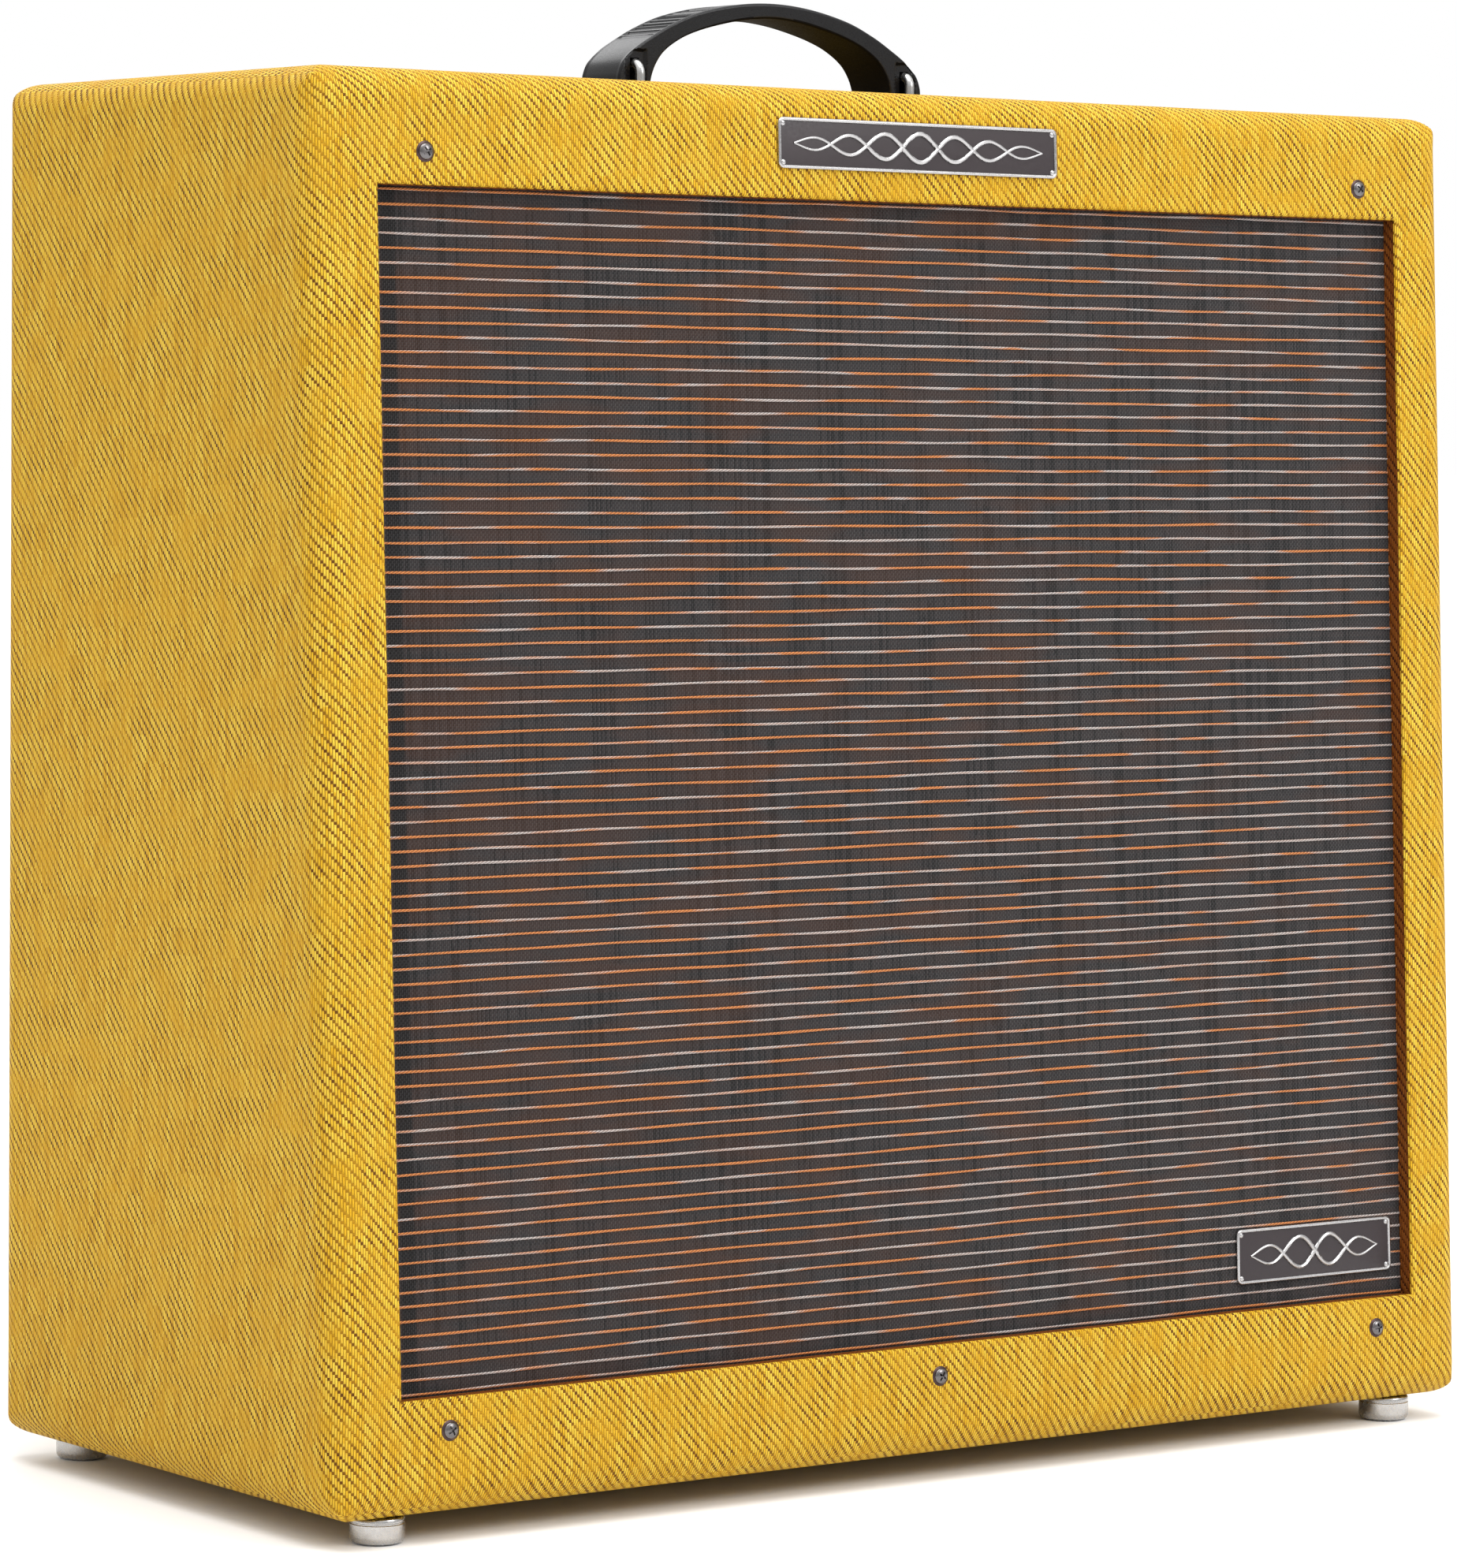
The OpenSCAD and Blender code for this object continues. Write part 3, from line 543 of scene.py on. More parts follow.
def grille_stripe():
    """Two-ply cord, pale with tan stretches, its twist showing as slanted turns with painted shade in the
    grooves between them.
    """
    g = Graph("grille_stripe", Specular_IOR_Level=0.35, Sheen_Weight=0.2)
    across, up, _ = g.split(g.uv())
    wave = abs(g.math("SINE", (across / (1.9 * MM) + up * 900) * math.pi))
    fleck = g.noise(g.vector(across * 0.35, up * 6), 260, 2)
    # Painted shade: the colour darkens in the grooves between the twist's turns, where wave falls.
    pale = g.mix(wave, srgb(80, 72, 69), srgb(178, 169, 165))
    pale = g.mix(g.span(fleck, 0.45, 0.7, 0, 0.5), pale, srgb(158, 104, 66))
    tan = g.mix(wave, srgb(96, 46, 12), srgb(196, 118, 50))
    warm_share = fading_right(g, g.noise(g.vector(across, up * 9), 22, 2), across)
    return g.finish(g.mix(g.span(warm_share, 0.44, 0.54), pale, tan), 0.66, wave, 0.00025, 0.8)


def metal(name, colour, roughness, grain=0.0, stretch=(60, 60, 60), metallic=1.0):
    """Plated or bare metal with faint stains and fine wiping marks."""
    g = Graph(name, Metallic=metallic)
    place = g.place()
    marks = g.noise(g.scaled(place, stretch), 8, 4, 0.65)
    stains = g.span(g.noise(place, 46, 3), 0.35, 0.75, 0, 0.3)
    colour = g.mix(stains, (*colour, 1), scaled_colour(colour, 0.78))
    rough = g.span(marks, 0.3, 0.75, roughness * 0.75, roughness * 1.5 + grain)
    return g.finish(colour, rough, marks, 0.00004 + grain * 0.0004, 0.35)


def plastic(name, colour, roughness, grain, scale, wear=0.25, gloss=0.45):
    """Moulded plastic with a fine grain, and a slightly paler bloom in patches."""
    g = Graph(name, Specular_IOR_Level=gloss)
    place = g.place()
    fine = g.noise(place, scale, 3, 0.6)
    bloom = g.span(g.noise(place, 55, 3), 0.4, 0.75, 0, wear)
    colour = g.mix(bloom, (*colour, 1), scaled_colour(colour, 1.9, 0.012))
    return g.finish(colour, g.span(fine, 0.25, 0.8, roughness * 0.8, roughness * 1.35), fine, grain, 0.5)


def wood(name, light, dark, rings, stretch=(1.6, 22, 22)):
    """Sawn wood: growth rings drawn out along the grain, with fine pores."""
    g = Graph(name, Specular_IOR_Level=0.25)
    place = g.place()
    warped = g.noise(g.scaled(place, stretch), 1.1, 3, 0.55)
    ring = abs(g.math("SINE", warped * rings))
    pores = g.noise(g.scaled(place, [s * 26 for s in stretch]), 1.0, 2, 0.7)
    tone = g.mix(ring ** 1.6, light, dark)
    tone = g.mix(g.span(pores, 0.5, 0.8, 0, 0.5), tone, scaled_colour(dark, 0.55))
    return g.finish(tone, g.span(pores, 0.3, 0.8, 0.55, 0.8), ring + pores, 0.0002, 0.4)


def cone_paper():
    """Felted dark paper with fibres."""
    g = Graph("cone_paper", Specular_IOR_Level=0.2)
    fibres = g.noise(g.place(), 900, 4, 0.75)
    colour = g.mix(g.noise(g.place(), 60, 3), srgb(40, 37, 34), srgb(66, 61, 55))
    return g.finish(colour, g.span(fibres, 0.2, 0.8, 0.75, 0.95), fibres, 0.0003, 0.6)


def circuit_green():
    """Solder-masked board: green with paler tracks."""
    g = Graph("circuit", Specular_IOR_Level=0.5)
    x, _, _ = g.split(g.place())
    lane = g.math("FRACT", (x + g.noise(g.place(), 60, 1)) * 90)
    track = g.math("GREATER_THAN", lane, 0.7)
    return g.finish(g.mix(track, srgb(12, 70, 38), srgb(40, 118, 66)), 0.32, track, 0.00005, 0.6)


def jewel_glass():
    """Faceted amber-red jewel with some depth of colour."""
    g = Graph("jewel", IOR=1.52, Transmission_Weight=0.55)
    return g.finish(g.mix(g.noise(g.place(), 300, 2), srgb(214, 60, 16), srgb(240, 112, 30)), 0.08)


def fibre_gasket():
    """Speckled pressed fibre."""
    g = Graph("gasket", Specular_IOR_Level=0.15)
    specks = g.noise(g.place(), 500, 3, 0.7)
    colour = g.ramp(specks, (0.35, srgb(92, 66, 42)), (0.65, srgb(150, 112, 74)))
    return g.finish(colour, 0.9, specks, 0.0004, 0.6)


MATERIALS = {
    "tweed": tweed("tweed"),
    "tweed_flat": tweed("tweed_flat", by_uv=False),
    # The tweed with painted shade, for the straight part of the window's reveal.
    "tweed_fold": tweed("tweed_fold", stain=srgb(150, 104, 92)),
    "grille_base": grille_base(),
    "grille_stripe": grille_stripe(),
    "cone_paper": cone_paper(),
    "circuit": circuit_green(),
    "jewel": jewel_glass(),
    "gasket": fibre_gasket(),
}
PINE = (srgb(226, 190, 138), srgb(190, 142, 88), 46)
KINDS = {
    metal: (
        ("nickel", (0.50, 0.495, 0.485), 0.2),
        ("foot", (0.48, 0.47, 0.46), 0.25),
        ("badge_silver", (0.45, 0.44, 0.44), 0.26),
        ("screw", (0.16, 0.15, 0.15), 0.24, 0.05),
        # The front screws' cup washers are coloured near black and reddish as a painted shadow ring round
        # each head.
        ("screw_cup", (0.075, 0.05, 0.05), 0.35, 0.05),
        ("steel", (0.46, 0.46, 0.48), 0.34, 0.01),
        ("chrome_panel", (0.48, 0.48, 0.50), 0.14, 0.0, (10, 160, 160)),
        ("basket", (0.16, 0.17, 0.18), 0.4, 0.05, (60, 60, 60), 0.0),
        ("magnet", (0.09, 0.09, 0.10), 0.5, 0.1, (60, 60, 60), 0.3),
    ),
    plastic: (
        ("moulded_black", (0.004, 0.004, 0.005), 0.3, 0.00012, 1500, 0.05, 0.26),
        ("moulded_matt", (0.004, 0.004, 0.005), 0.6, 0.00012, 1500, 0.05, 0.05),
        ("knob_black", (0.005, 0.005, 0.006), 0.22, 0.00004, 900, 0.1),
        ("socket_black", (0.02, 0.02, 0.021), 0.45, 0.0001, 1300),
        ("badge_field", (0.020, 0.013, 0.015), 0.42, 0.00005, 700, 0.1),
        ("marking_white", (0.75, 0.73, 0.68), 0.5, 0.00003, 900),
        ("marking_black", (0.02, 0.02, 0.02), 0.5, 0.00003, 900),
        ("spider", (0.42, 0.22, 0.07), 0.8, 0.0003, 1400),
        ("surround", (0.030, 0.027, 0.024), 0.6, 0.0002, 1100),
        ("former", (0.30, 0.12, 0.04), 0.4, 0.00005, 900),
    ),
    wood: (
        ("pine_x", *PINE),
        ("pine_z", *PINE, (22, 22, 1.6)),
        ("strip", srgb(206, 168, 120), srgb(168, 124, 80), 38),
        ("ply", srgb(196, 158, 112), srgb(160, 120, 78), 18),
    ),
}
for kind, rows in KINDS.items():
    for name, *values in rows:
        MATERIALS[name] = kind(name, *values)

# The CAD pieces' own materials, by how a node's name starts. The first that fits is taken.
NODE_LOOKS = {
    "nickel": ("glide", "handle_bails", "back_panel_s", "mounting", "toggle_lever", "panel_nuts",
               "pilot_lamp", "line_out", "speaker_bolts", "nameplate"),
    "screw": ("baffle_screws",),
    "steel": ("chassis", "rotary", "toggle_bodies"),
    "chrome_panel": ("control_panel",),
    "pine_x": ("top_board", "bottom_board"),
    "pine_z": ("side_board",),
    "strip": ("front_rail", "front_cleats", "back_cleats"),
    "ply": ("baffle_board",),
    "circuit": ("signal", "amplifier", "power_supply"),
    "jewel": ("pilot_jewel",),
    "socket_black": ("mains_inlet", "input_jack"),
    "knob_black": ("knob", "selector_knob"),
    "moulded_black": ("handle",),
    "tweed_flat": ("tweed_cover", "upper_back", "lower_back"),
    "grille_base": ("grille_cloth",),
    "gasket": ("speaker_gaskets",),
    "basket": ("speaker_basket",),
    "magnet": ("speaker_magnet",),
    "cone_paper": ("speaker_cone",),
}
for name, node in nodes.items():
    look = next(k for k, starts in NODE_LOOKS.items() if name.startswith(starts))
    node.data.materials.clear()
    node.data.materials.append(MATERIALS[look])

# ------------------------------------------------------------------ the woven covering

TOWARD = {
    "front": Vector((0, -cos_lean, sin_lean)),
    "back": Vector((0, 1, 0)),
    "left": Vector((-1, 0, 0)),
    "right": Vector((1, 0, 0)),
    "top": Vector((0, 0, 1)),
    "bottom": Vector((0, 0, -1)),
}
ARC_STEPS = 7


def front_core_y(z):
    """Centre of the edge rounding behind the leaning front, at a height."""
    return y_front + (z - z_bottom) * math.tan(lean) + edge_r / cos_lean


def grid_line(low, high, cuts=()):
    """Places along one side of a face: (flat place, share of the way round the edge).
    The share is negative past the low end and positive past the high end."""
    bends = [k / ARC_STEPS for k in range(1, ARC_STEPS + 1)]
    flats = sorted({round(low + (high - low) * k / 6, 7) for k in range(7)} | set(cuts))
    return [(low, -b) for b in reversed(bends)] + [(f, 0) for f in flats] + [(high, b) for b in bends]


def bend(normal, neighbour, share):
    """How far a direction leans towards the neighbouring face, and the angle that makes."""
    lean_to = math.tan(share * math.pi / 4)
    angle = normal.angle(normal + neighbour * lean_to) if share else 0.0
    return lean_to, angle


def reach(direction):
    """Radius of the rounding: three crossing rounded edges meet in a fuller corner than a ball."""
    shares = [max(c * c, 1e-4) for c in direction]
    least = sum(s ** -4 for s in shares) ** -0.25
    return edge_r / math.sqrt(1 - least)


class Skin:
    """The covering's outer surface, one rounded face at a time, with woven coordinates."""

    def __init__(self):
        self.build = bmesh.new()
        self.uv = self.build.loops.layers.uv.new(UV_NAME)
        self.found = {}

    def vertex(self, place):
        key = tuple(round(c, 6) for c in place)
        if key not in self.found:
            self.found[key] = self.build.verts.new(place)
        return self.found[key]

    def quad(self, corners, material=0):
        """corners are (place, woven place) pairs, in order. Those that fall together are one."""
        placed = {}
        for place, woven in corners:
            placed.setdefault(self.vertex(place), woven)
        if len(placed) > 2:
            face = self.build.faces.new(list(placed))
            face.material_index = material
            for loop in face.loops:
                loop[self.uv].uv = placed[loop.vert]

    def face(self, toward, lines, core, flat_uv, sides, hole=None, ways=(1, 1)):
        """lines are the two grid lines; core gives the rounding's centre at flat places, flat_uv
        their woven place; sides name the neighbours at low and high of both lines; ways are the
        directions the woven place runs in along them."""
        normal = TOWARD[toward]
        grid = []
        for a, bend_a in lines[0]:
            near_a = TOWARD[sides[0][bend_a > 0]]
            lean_a, angle_a = bend(normal, near_a, abs(bend_a))
            row = []
            for b, bend_b in lines[1]:
                near_b = TOWARD[sides[1][bend_b > 0]]
                lean_b, angle_b = bend(normal, near_b, abs(bend_b))
                direction = (normal + near_a * lean_a + near_b * lean_b).normalized()
                u, v = flat_uv(a, b)
                u += math.copysign(edge_r * angle_a, bend_a) * ways[0]
                v += math.copysign(edge_r * angle_b, bend_b) * ways[1]
                row.append((core(a, b) + direction * reach(direction), (u, v)))
            grid.append(row)
        for i in range(len(lines[0]) - 1):
            for j in range(len(lines[1]) - 1):
                mid_a = (lines[0][i][0] + lines[0][i + 1][0]) / 2
                mid_b = (lines[1][j][0] + lines[1][j + 1][0]) / 2
                if hole and hole[0] < mid_a < hole[1] and hole[2] < mid_b < hole[3]:
                    continue
                self.quad([grid[i][j], grid[i + 1][j], grid[i + 1][j + 1], grid[i][j + 1]])

    def lip(self, hole, lines, place, inward, depth, flat_uv, way=1, fold=0):
        """The covering turned into a hole: a rounded edge, then straight in. way is the woven direction
        along the second line, and fold the material slot of the straight part; slot 1 is the tweed with
        painted shade."""
        bends = [k * math.pi / 12 for k in range(7)]
        profile = [(lip_r * (1 - math.sin(t)), lip_r * (1 - math.cos(t))) for t in bends]
        profile.append((0, depth))
        low_a, high_a, low_b, high_b = hole
        along_a = [x for x, share in lines[0] if share == 0 and low_a <= x <= high_a]
        along_b = [x for x, share in lines[1] if share == 0 and low_b <= x <= high_b]
        ring = [(a, low_b) for a in along_a] + [(high_a, b) for b in along_b[1:]]
        ring += [(a, high_b) for a in reversed(along_a[:-1])]
        ring += [(low_a, b) for b in reversed(along_b[1:-1])]
        run = 0.0
        for near, far in zip(profile, profile[1:]):
            step = math.dist(near, far)
            for k, end in enumerate(ring):
                start = ring[k - 1]
                level = start[1] == end[1] and end[1] in (low_b, high_b)
                at_low = start[1] == low_b if level else start[0] == low_a
                sign = 1 if at_low else -1
                corners = []
                for (a, b), (offset, deep), length in (
                    (start, near, run), (end, near, run), (end, far, run + step), (start, far, run + step),
                ):
                    inner_a = min(max(a, low_a + lip_r - offset), high_a - lip_r + offset)
                    inner_b = min(max(b, low_b + lip_r - offset), high_b - lip_r + offset)
                    u, v = flat_uv(a, b)
                    woven = (u, v + way * sign * length) if level else (u + sign * length, v)
                    corners.append((place(inner_a, inner_b) + inward * deep, woven))
                self.quad(corners, fold if step > lip_r else 0)
            run += step


def woven_cover():
    """The whole covering, wrapped round the cabinet and folded into its three openings."""
    skin = Skin()
    x_core = half_w - edge_r
    z_low, z_high = z_bottom + edge_r, z_top - edge_r
    y_core = y_back - edge_r
    up_low = edge_r * (1 + sin_lean) / cos_lean
    up_high = (z_high - z_bottom) / cos_lean + edge_r * math.tan(lean)
    over_front = up_high + edge_r * (math.pi / 2 - lean)
    over_top = over_front + y_core - front_core_y(z_high) + edge_r * math.pi / 2
    left_right, front_back, bottom_top = ("left", "right"), ("front", "back"), ("bottom", "top")

    def opening(low_a, high_a, low_b, high_b):
        return low_a - lip_r, high_a + lip_r, low_b - lip_r, high_b + lip_r

    def front_uv(a, b):
        return a, b

    window = opening(-window_half_w, window_half_w, window_low, window_high)
    lines = [grid_line(-x_core, x_core, window[:2]), grid_line(up_low, up_high, window[2:])]
    skin.face(
        "front", lines, lambda a, b: front_point(a, edge_r, b), front_uv, [left_right, bottom_top], window)
    # The straight part of the window's reveal takes slot 1, the tweed with painted shade.
    skin.lip(
        window, lines, lambda a, b: front_point(a, 0, b), -TOWARD["front"], window_depth, front_uv, fold=1)

    for side, name in ((-1, "left"), (1, "right")):
        def place(share, z):
            y = front_core_y(z)
            return Vector((side * x_core, y + (y_core - y) * share, z))

        def side_uv(share, z):
            p = place(share, z)
            y, up = p.y - y_front - edge_r * cos_lean, p.z - z_bottom + edge_r * sin_lean
            run = y * cos_lean - up * sin_lean
            return side * (x_core + edge_r * math.pi / 2 + run), y * sin_lean + up * cos_lean

        lines = [grid_line(0, 1), grid_line(z_low, z_high)]
        skin.face(name, lines, place, side_uv, [front_back, bottom_top], ways=(side, 1))

    def top_uv(a, b):
        return a, over_front + b - front_core_y(z_high)

    well = opening(-well_half_w, well_half_w, well_y0, well_y1)
    lines = [grid_line(-x_core, x_core, well[:2]), grid_line(front_core_y(z_high), y_core, well[2:])]
    skin.face("top", lines, lambda a, b: Vector((a, b, z_high)), top_uv, [left_right, front_back], well)
    skin.lip(well, lines, lambda a, b: Vector((a, b, z_top)), -TOWARD["top"], wall - 0.2 * MM, top_uv)

    def back_uv(a, b):
        return a, over_top + z_high - b

    back = opening(-half_w + wall, half_w - wall, z_bottom + wall, z_top - wall)
    lines = [grid_line(-x_core, x_core, back[:2]), grid_line(z_low, z_high, back[2:])]
    skin.face(
        "back", lines, lambda a, b: Vector((a, y_core, b)), back_uv, [left_right, bottom_top], back,
        ways=(1, -1))
    skin.lip(back, lines, lambda a, b: Vector((a, y_back, b)), -TOWARD["back"], 13 * MM, back_uv, way=-1)

    def bottom_uv(a, b):
        return a, up_low - 0.03 - b

    lines = [grid_line(-x_core, x_core), grid_line(front_core_y(z_low), y_core)]
    skin.face(
        "bottom", lines, lambda a, b: Vector((a, b, z_low)), bottom_uv, [left_right, front_back],
        ways=(1, -1))
    cover = mesh_of("woven_cover", skin.build)
    # Slot 1 is the tweed with painted shade, on the straight part of the window's reveal.
    cover.data.materials.append(MATERIALS["tweed"])
    cover.data.materials.append(MATERIALS["tweed_fold"])
    finished(thickened(cover, 0.8), "tweed", replaces="tweed_cover", smooth=50)


# ------------------------------------------------------------------ grille cloth

def up_at(z, depth):
    """Distance up the front of a point at a height, a depth behind the front's face."""
    return (z - z_bottom + depth * sin_lean) / cos_lean


def cloth_slack(x, up):
    """How far the stretched cloth stands off a plane, in metres."""
    return 0.1 * MM * math.sin(23 * x + 4) * math.sin(19 * up + 1) + 0.05 * MM * math.sin(61 * x - 40 * up)


def grille():
    """Cloth stretched over the baffle, with its pale raised cords laid across it."""
    low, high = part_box("grille_cloth")
    depth, margin = window_depth + 0.2 * MM, 0.3 * MM
    half = high.x - margin
    bottom = up_at(low.z, window_depth + 1 * MM) + margin
    top = up_at(high.z, window_depth) - margin
    columns, rows = 110, 104
    build = bmesh.new()
    uv = build.loops.layers.uv.new(UV_NAME)
    grid = []
    for i in range(columns + 1):
        x = -half + 2 * half * i / columns
        ups = [bottom + (top - bottom) * j / rows for j in range(rows + 1)]
        places = [(front_point(x, depth + cloth_slack(x, up), up), (x, up)) for up in ups]
        grid.append([(build.verts.new(place), woven) for place, woven in places])
    for i in range(columns):
        for j in range(rows):
            woven_face(build, [grid[i][j], grid[i + 1][j], grid[i + 1][j + 1], grid[i][j + 1]], uv)
    cloth = thickened(mesh_of("grille_weave", build, tidy_normals=False), 0.7)
    finished(cloth, "grille_cloth", "grille_base", "grille_cloth")

    pitch, radius, sides, step = 5.76 * MM, 0.56 * MM, 6, 5 * MM
    build = bmesh.new()
    uv = build.loops.layers.uv.new(UV_NAME)
    middle = (window_low + window_high) / 2
    first, last = math.ceil((bottom - middle) / pitch), math.floor((top - middle) / pitch)
    count = round(2 * half / step)
    for k in range(first, last + 1):
        phases = [random.uniform(0, 2 * math.pi) for _ in range(3)]
        rings = []
        for i in range(count + 1):
            x = -half + 2 * half * i / count
            drift = 0.16 * math.sin(31 * x + phases[0]) + 0.10 * math.sin(87 * x + phases[1])
            up = middle + k * pitch + drift * MM
            fat = radius * (1 + 0.12 * math.sin(140 * x + phases[2]))
            ring = []
            for angle in [2 * math.pi * (s + 0.5) / sides for s in range(sides)]:
                deep = depth + cloth_slack(x, up) - 0.12 * MM - 0.8 * fat * math.sin(angle)
                place = front_point(x, deep, up + fat * math.cos(angle))
                ring.append((build.verts.new(place), (x, k * pitch + fat * angle)))
            rings.append(ring)
        for a, b in zip(rings, rings[1:]):
            band(build, a, b, uv)
        build.faces.new([v for v, _ in rings[0]])
        build.faces.new([v for v, _ in reversed(rings[-1])])
    cords = finished(mesh_of("grille_cords", build), "grille_cloth", "grille_stripe", smooth=80)
    top - bottom


# ------------------------------------------------------------------ handle

bail_x = 72


def arch(control):
    """A smooth path over the whole handle, from the points of its right half."""
    steps = 14
    x, z = control[1]
    right = spline([(-x, z)] + control, steps)[steps:]
    return [Vector((-p.x, p.y)) for p in reversed(right[1:])] + right


def strap_section(half, tall, flank, wave):
    """(across, up) points round the strap. Its top has a ribbed channel where flank is 1."""
    corner, rim, channel = 1.2, 0.9, 1.3
    inner = half - corner
    across = [k / 26 for k in range(1, 26)]
    side = [corner + (tall - 2 * corner) * k / 22 for k in range(1, 22)]

    def rounding(u, t, start):
        angles = [math.radians(start + 22.5 * k) for k in range(5)]
        return [(u + corner * math.cos(a), t + corner * math.sin(a)) for a in angles]

    section = rounding(inner, tall - corner, 0)
    for u in [inner * (1 - 2 * s) for s in across]:
        groove = smoothstep(half - rim, half - rim - 1, abs(u)) * flank
        crown = 0.5 * (1 - (u / half) ** 2) * (1 - flank)
        section.append((u, tall - groove * channel * (1 - 0.9 * wave) + crown - 0.5 * (1 - flank)))
    section += rounding(-inner, tall - corner, 90) + [(-half, t) for t in reversed(side)]
    section += rounding(-inner, corner, 180)
    section += [(inner * (2 * s - 1), -0.45 * (1 - (2 * s - 1) ** 2)) for s in across[::3]]
    return section + rounding(inner, corner, 270) + [(half, t) for t in side]


def strap_handle():
    """Moulded strap: an arch that swells into a heel at each end, ribbed on its flanks."""
    middle, size = middle_and_size("handle")
    half = size.y / 2 / MM
    outer = arch([(0, 41.3), (20, 39.8), (40, 35.4), (54, 29.8), (64, 24.4), (72, 19.4), (78, 14), (80.4, 9),
                  (80.9, 5), (80.6, 1.9)])
    inner = arch([(0, 34.8), (16, 33.4), (32, 30.0), (44, 26.2), (52, 22.2), (57.6, 18), (61.2, 13.2),
                  (63.2, 8.6), (64.1, 4.8), (64.6, 1.9)])
    ridge_pitch = 4.2
    build = bmesh.new()
    rings = []
    run = 0.0
    for k, (out, into) in enumerate(zip(outer, inner)):
        if k:
            run += (out - outer[k - 1]).length
        along = (out - into).normalized()
        flank = smoothstep(20, 30, abs(out.x)) * (1 - smoothstep(60, 66, abs(out.x)))
        wave = 0.5 + 0.5 * math.cos(2 * math.pi * run / ridge_pitch)
        ring = []
        for u, t in strap_section(half, (out - into).length, flank, wave):
            place = into + along * t
            pocket = 1 - smoothstep(4.6, 5.6, abs(abs(place.x) - bail_x))
            pocket *= 1 - smoothstep(18, 19.2, place.y)
            u -= math.copysign(1.3 * pocket * smoothstep(half - 1, half - 0.2, abs(u)), u)
            ring.append(build.verts.new((place.x * MM, middle.y + u * MM, z_top + max(1.75, place.y) * MM)))
        rings.append(ring)
    for a, b in zip(rings, rings[1:]):
        band(build, a, b)
    build.faces.new(rings[0])
    build.faces.new(rings[-1])
    strap = mesh_of("strap_handle", build)
    for side in (-1, 1):
        place = Matrix.Translation((side * bail_x * MM, middle.y, z_top))
        cut(strap, box_piece("slot", (-2.3, -half - 10, 4.7), (2.3, half + 10, 15.3), place))
    strap.data.materials.append(MATERIALS["moulded_black"])
    strap.data.materials.append(MATERIALS["moulded_matt"])
    for face in strap.data.polygons:
        face.material_index = int(face.normal.z < -0.2)
    finished(strap, "moulded_black", replaces="handle", body="handle", smooth=32)


def handle_wires():
    """Wire loops through the handle's heels, each welded to a plate with round ends."""
    middle, size = middle_and_size("handle_bails")
    leg, top, bend_r, plate_w, plate_t = 17, 13, 4.5, 16, 1.5
    plate = rounded_outline(plate_w, size.y / MM, plate_w / 2 - 0.01, 10)
    corner = [k * math.pi / 16 for k in range(9)]
    corner = [(leg - bend_r + bend_r * math.cos(a), top - bend_r + bend_r * math.sin(a)) for a in corner]
    path = [(0, leg, plate_t / 2)] + [(0, y, z) for y, z in corner]
    path += [(0, -y, z) for _, y, z in reversed(path)]
    pieces = []
    for side in (-1, 1):
        place = Matrix.Translation((side * bail_x * MM, middle.y, z_top))
        pieces.append(slab("plate", plate, 0.05, plate_t, place, 0.4))
        pieces.append(tube("wire", path, 2, place, 20))
        for y in (-leg, leg):
            weld = [(3.0, 1.4), (2.7, 2.2), (2.2, 2.7), (0, 2.7)]
            pieces.append(lathed("weld", weld, place @ shift(0, y), 24))
    finished(joined("handle_wires", pieces), "nickel", replaces="handle_bails")


# ------------------------------------------------------------------ badges, screws and feet

def dome(radius, height, steps):
    """Profile points from a rim up over a dome to its middle."""
    turns = [k * math.pi / 2 / steps for k in range(steps)]
    return [(radius * math.cos(a), height * math.sin(a)) for a in turns] + [(0, height)]


def badge(name, node, up, tall, depth, loops):
    """Dark enamel plate with a bright rounded border and a standing-wave ornament."""
    middle, size = middle_and_size(node)
    width = size.x / MM
    place = on_front(middle.x / MM, up, depth)
    field = rounded_outline(width - 1.2, tall - 1.2, 1.6)
    field = slab(name + "_field", field, 0.05, 0.9, place, 0.2)
    finished(field, "enamel_badge", "badge_field", node)

    wire, samples = 0.78, 30 * loops
    border = [(a, b, wire) for a, b in rounded_outline(width - 2 * wire, tall - 2 * wire, 1.9)]
    pieces = [tube("border", border, wire, place, closed=True)]
    for a in (-1, 1):
        for b in (-1, 1):
            corner = place @ shift(a * (width / 2 - 2.5), b * (tall / 2 - 2.5), 0.8)
            pieces.append(lathed("pin", [(0, 0)] + dome(1.25, 0.75, 5), corner, 20))
    for sign in (-1, 1):
        path = []
        for k in range(samples + 1):
            share = 2 * k / samples - 1
            wave = sign * math.sin(math.pi * loops * k / samples) * (1 - 0.72 * abs(share) ** 1.4)
            path.append((share * (width / 2 - 8), wave * (tall / 2 - 4.6), 0.85))
        pieces.append(tube("wave", path, lambda s: 0.42 + 0.7 * math.sin(math.pi * s), place, 8))
    finished(joined(name + "_ornament", pieces), "enamel_badge", "badge_silver", smooth=45)


def cross_head(radius, crown, slot, matrix):
    """Domed screw head with a cross slot cut into it, along the matrix's +Z."""
    head = lathed("head", [(0, -0.6), (radius, -0.6)] + dome(radius, crown, 7), matrix, 32)
    for a, b in ((radius * 0.62, slot / 2), (slot / 2, radius * 0.62)):
        cut(head, box_piece("slot", (-a, -b, crown * 0.25), (a, b, crown + 1), matrix))
    return head


def cup_washer(radius, hole, height, matrix):
    """Pressed cup that a domed screw head sits in."""
    profile = [(hole, height * 0.25), (hole + 0.25, height), (radius - 0.9, height * 0.9),
               (radius - 0.2, height * 0.35), (radius, 0), (hole, 0)]
    return lathed("cup", profile, matrix, 40, ring=True)


def cupped_screw(place, cup, head):
    """A cup washer and the screw head in it, with the slot at a random angle."""
    place = place @ Matrix.Rotation(random.uniform(0, math.pi / 2), 4, "Z")
    return [cup_washer(*cup, place), cross_head(*head, place @ shift(0, 0, 0.5))]


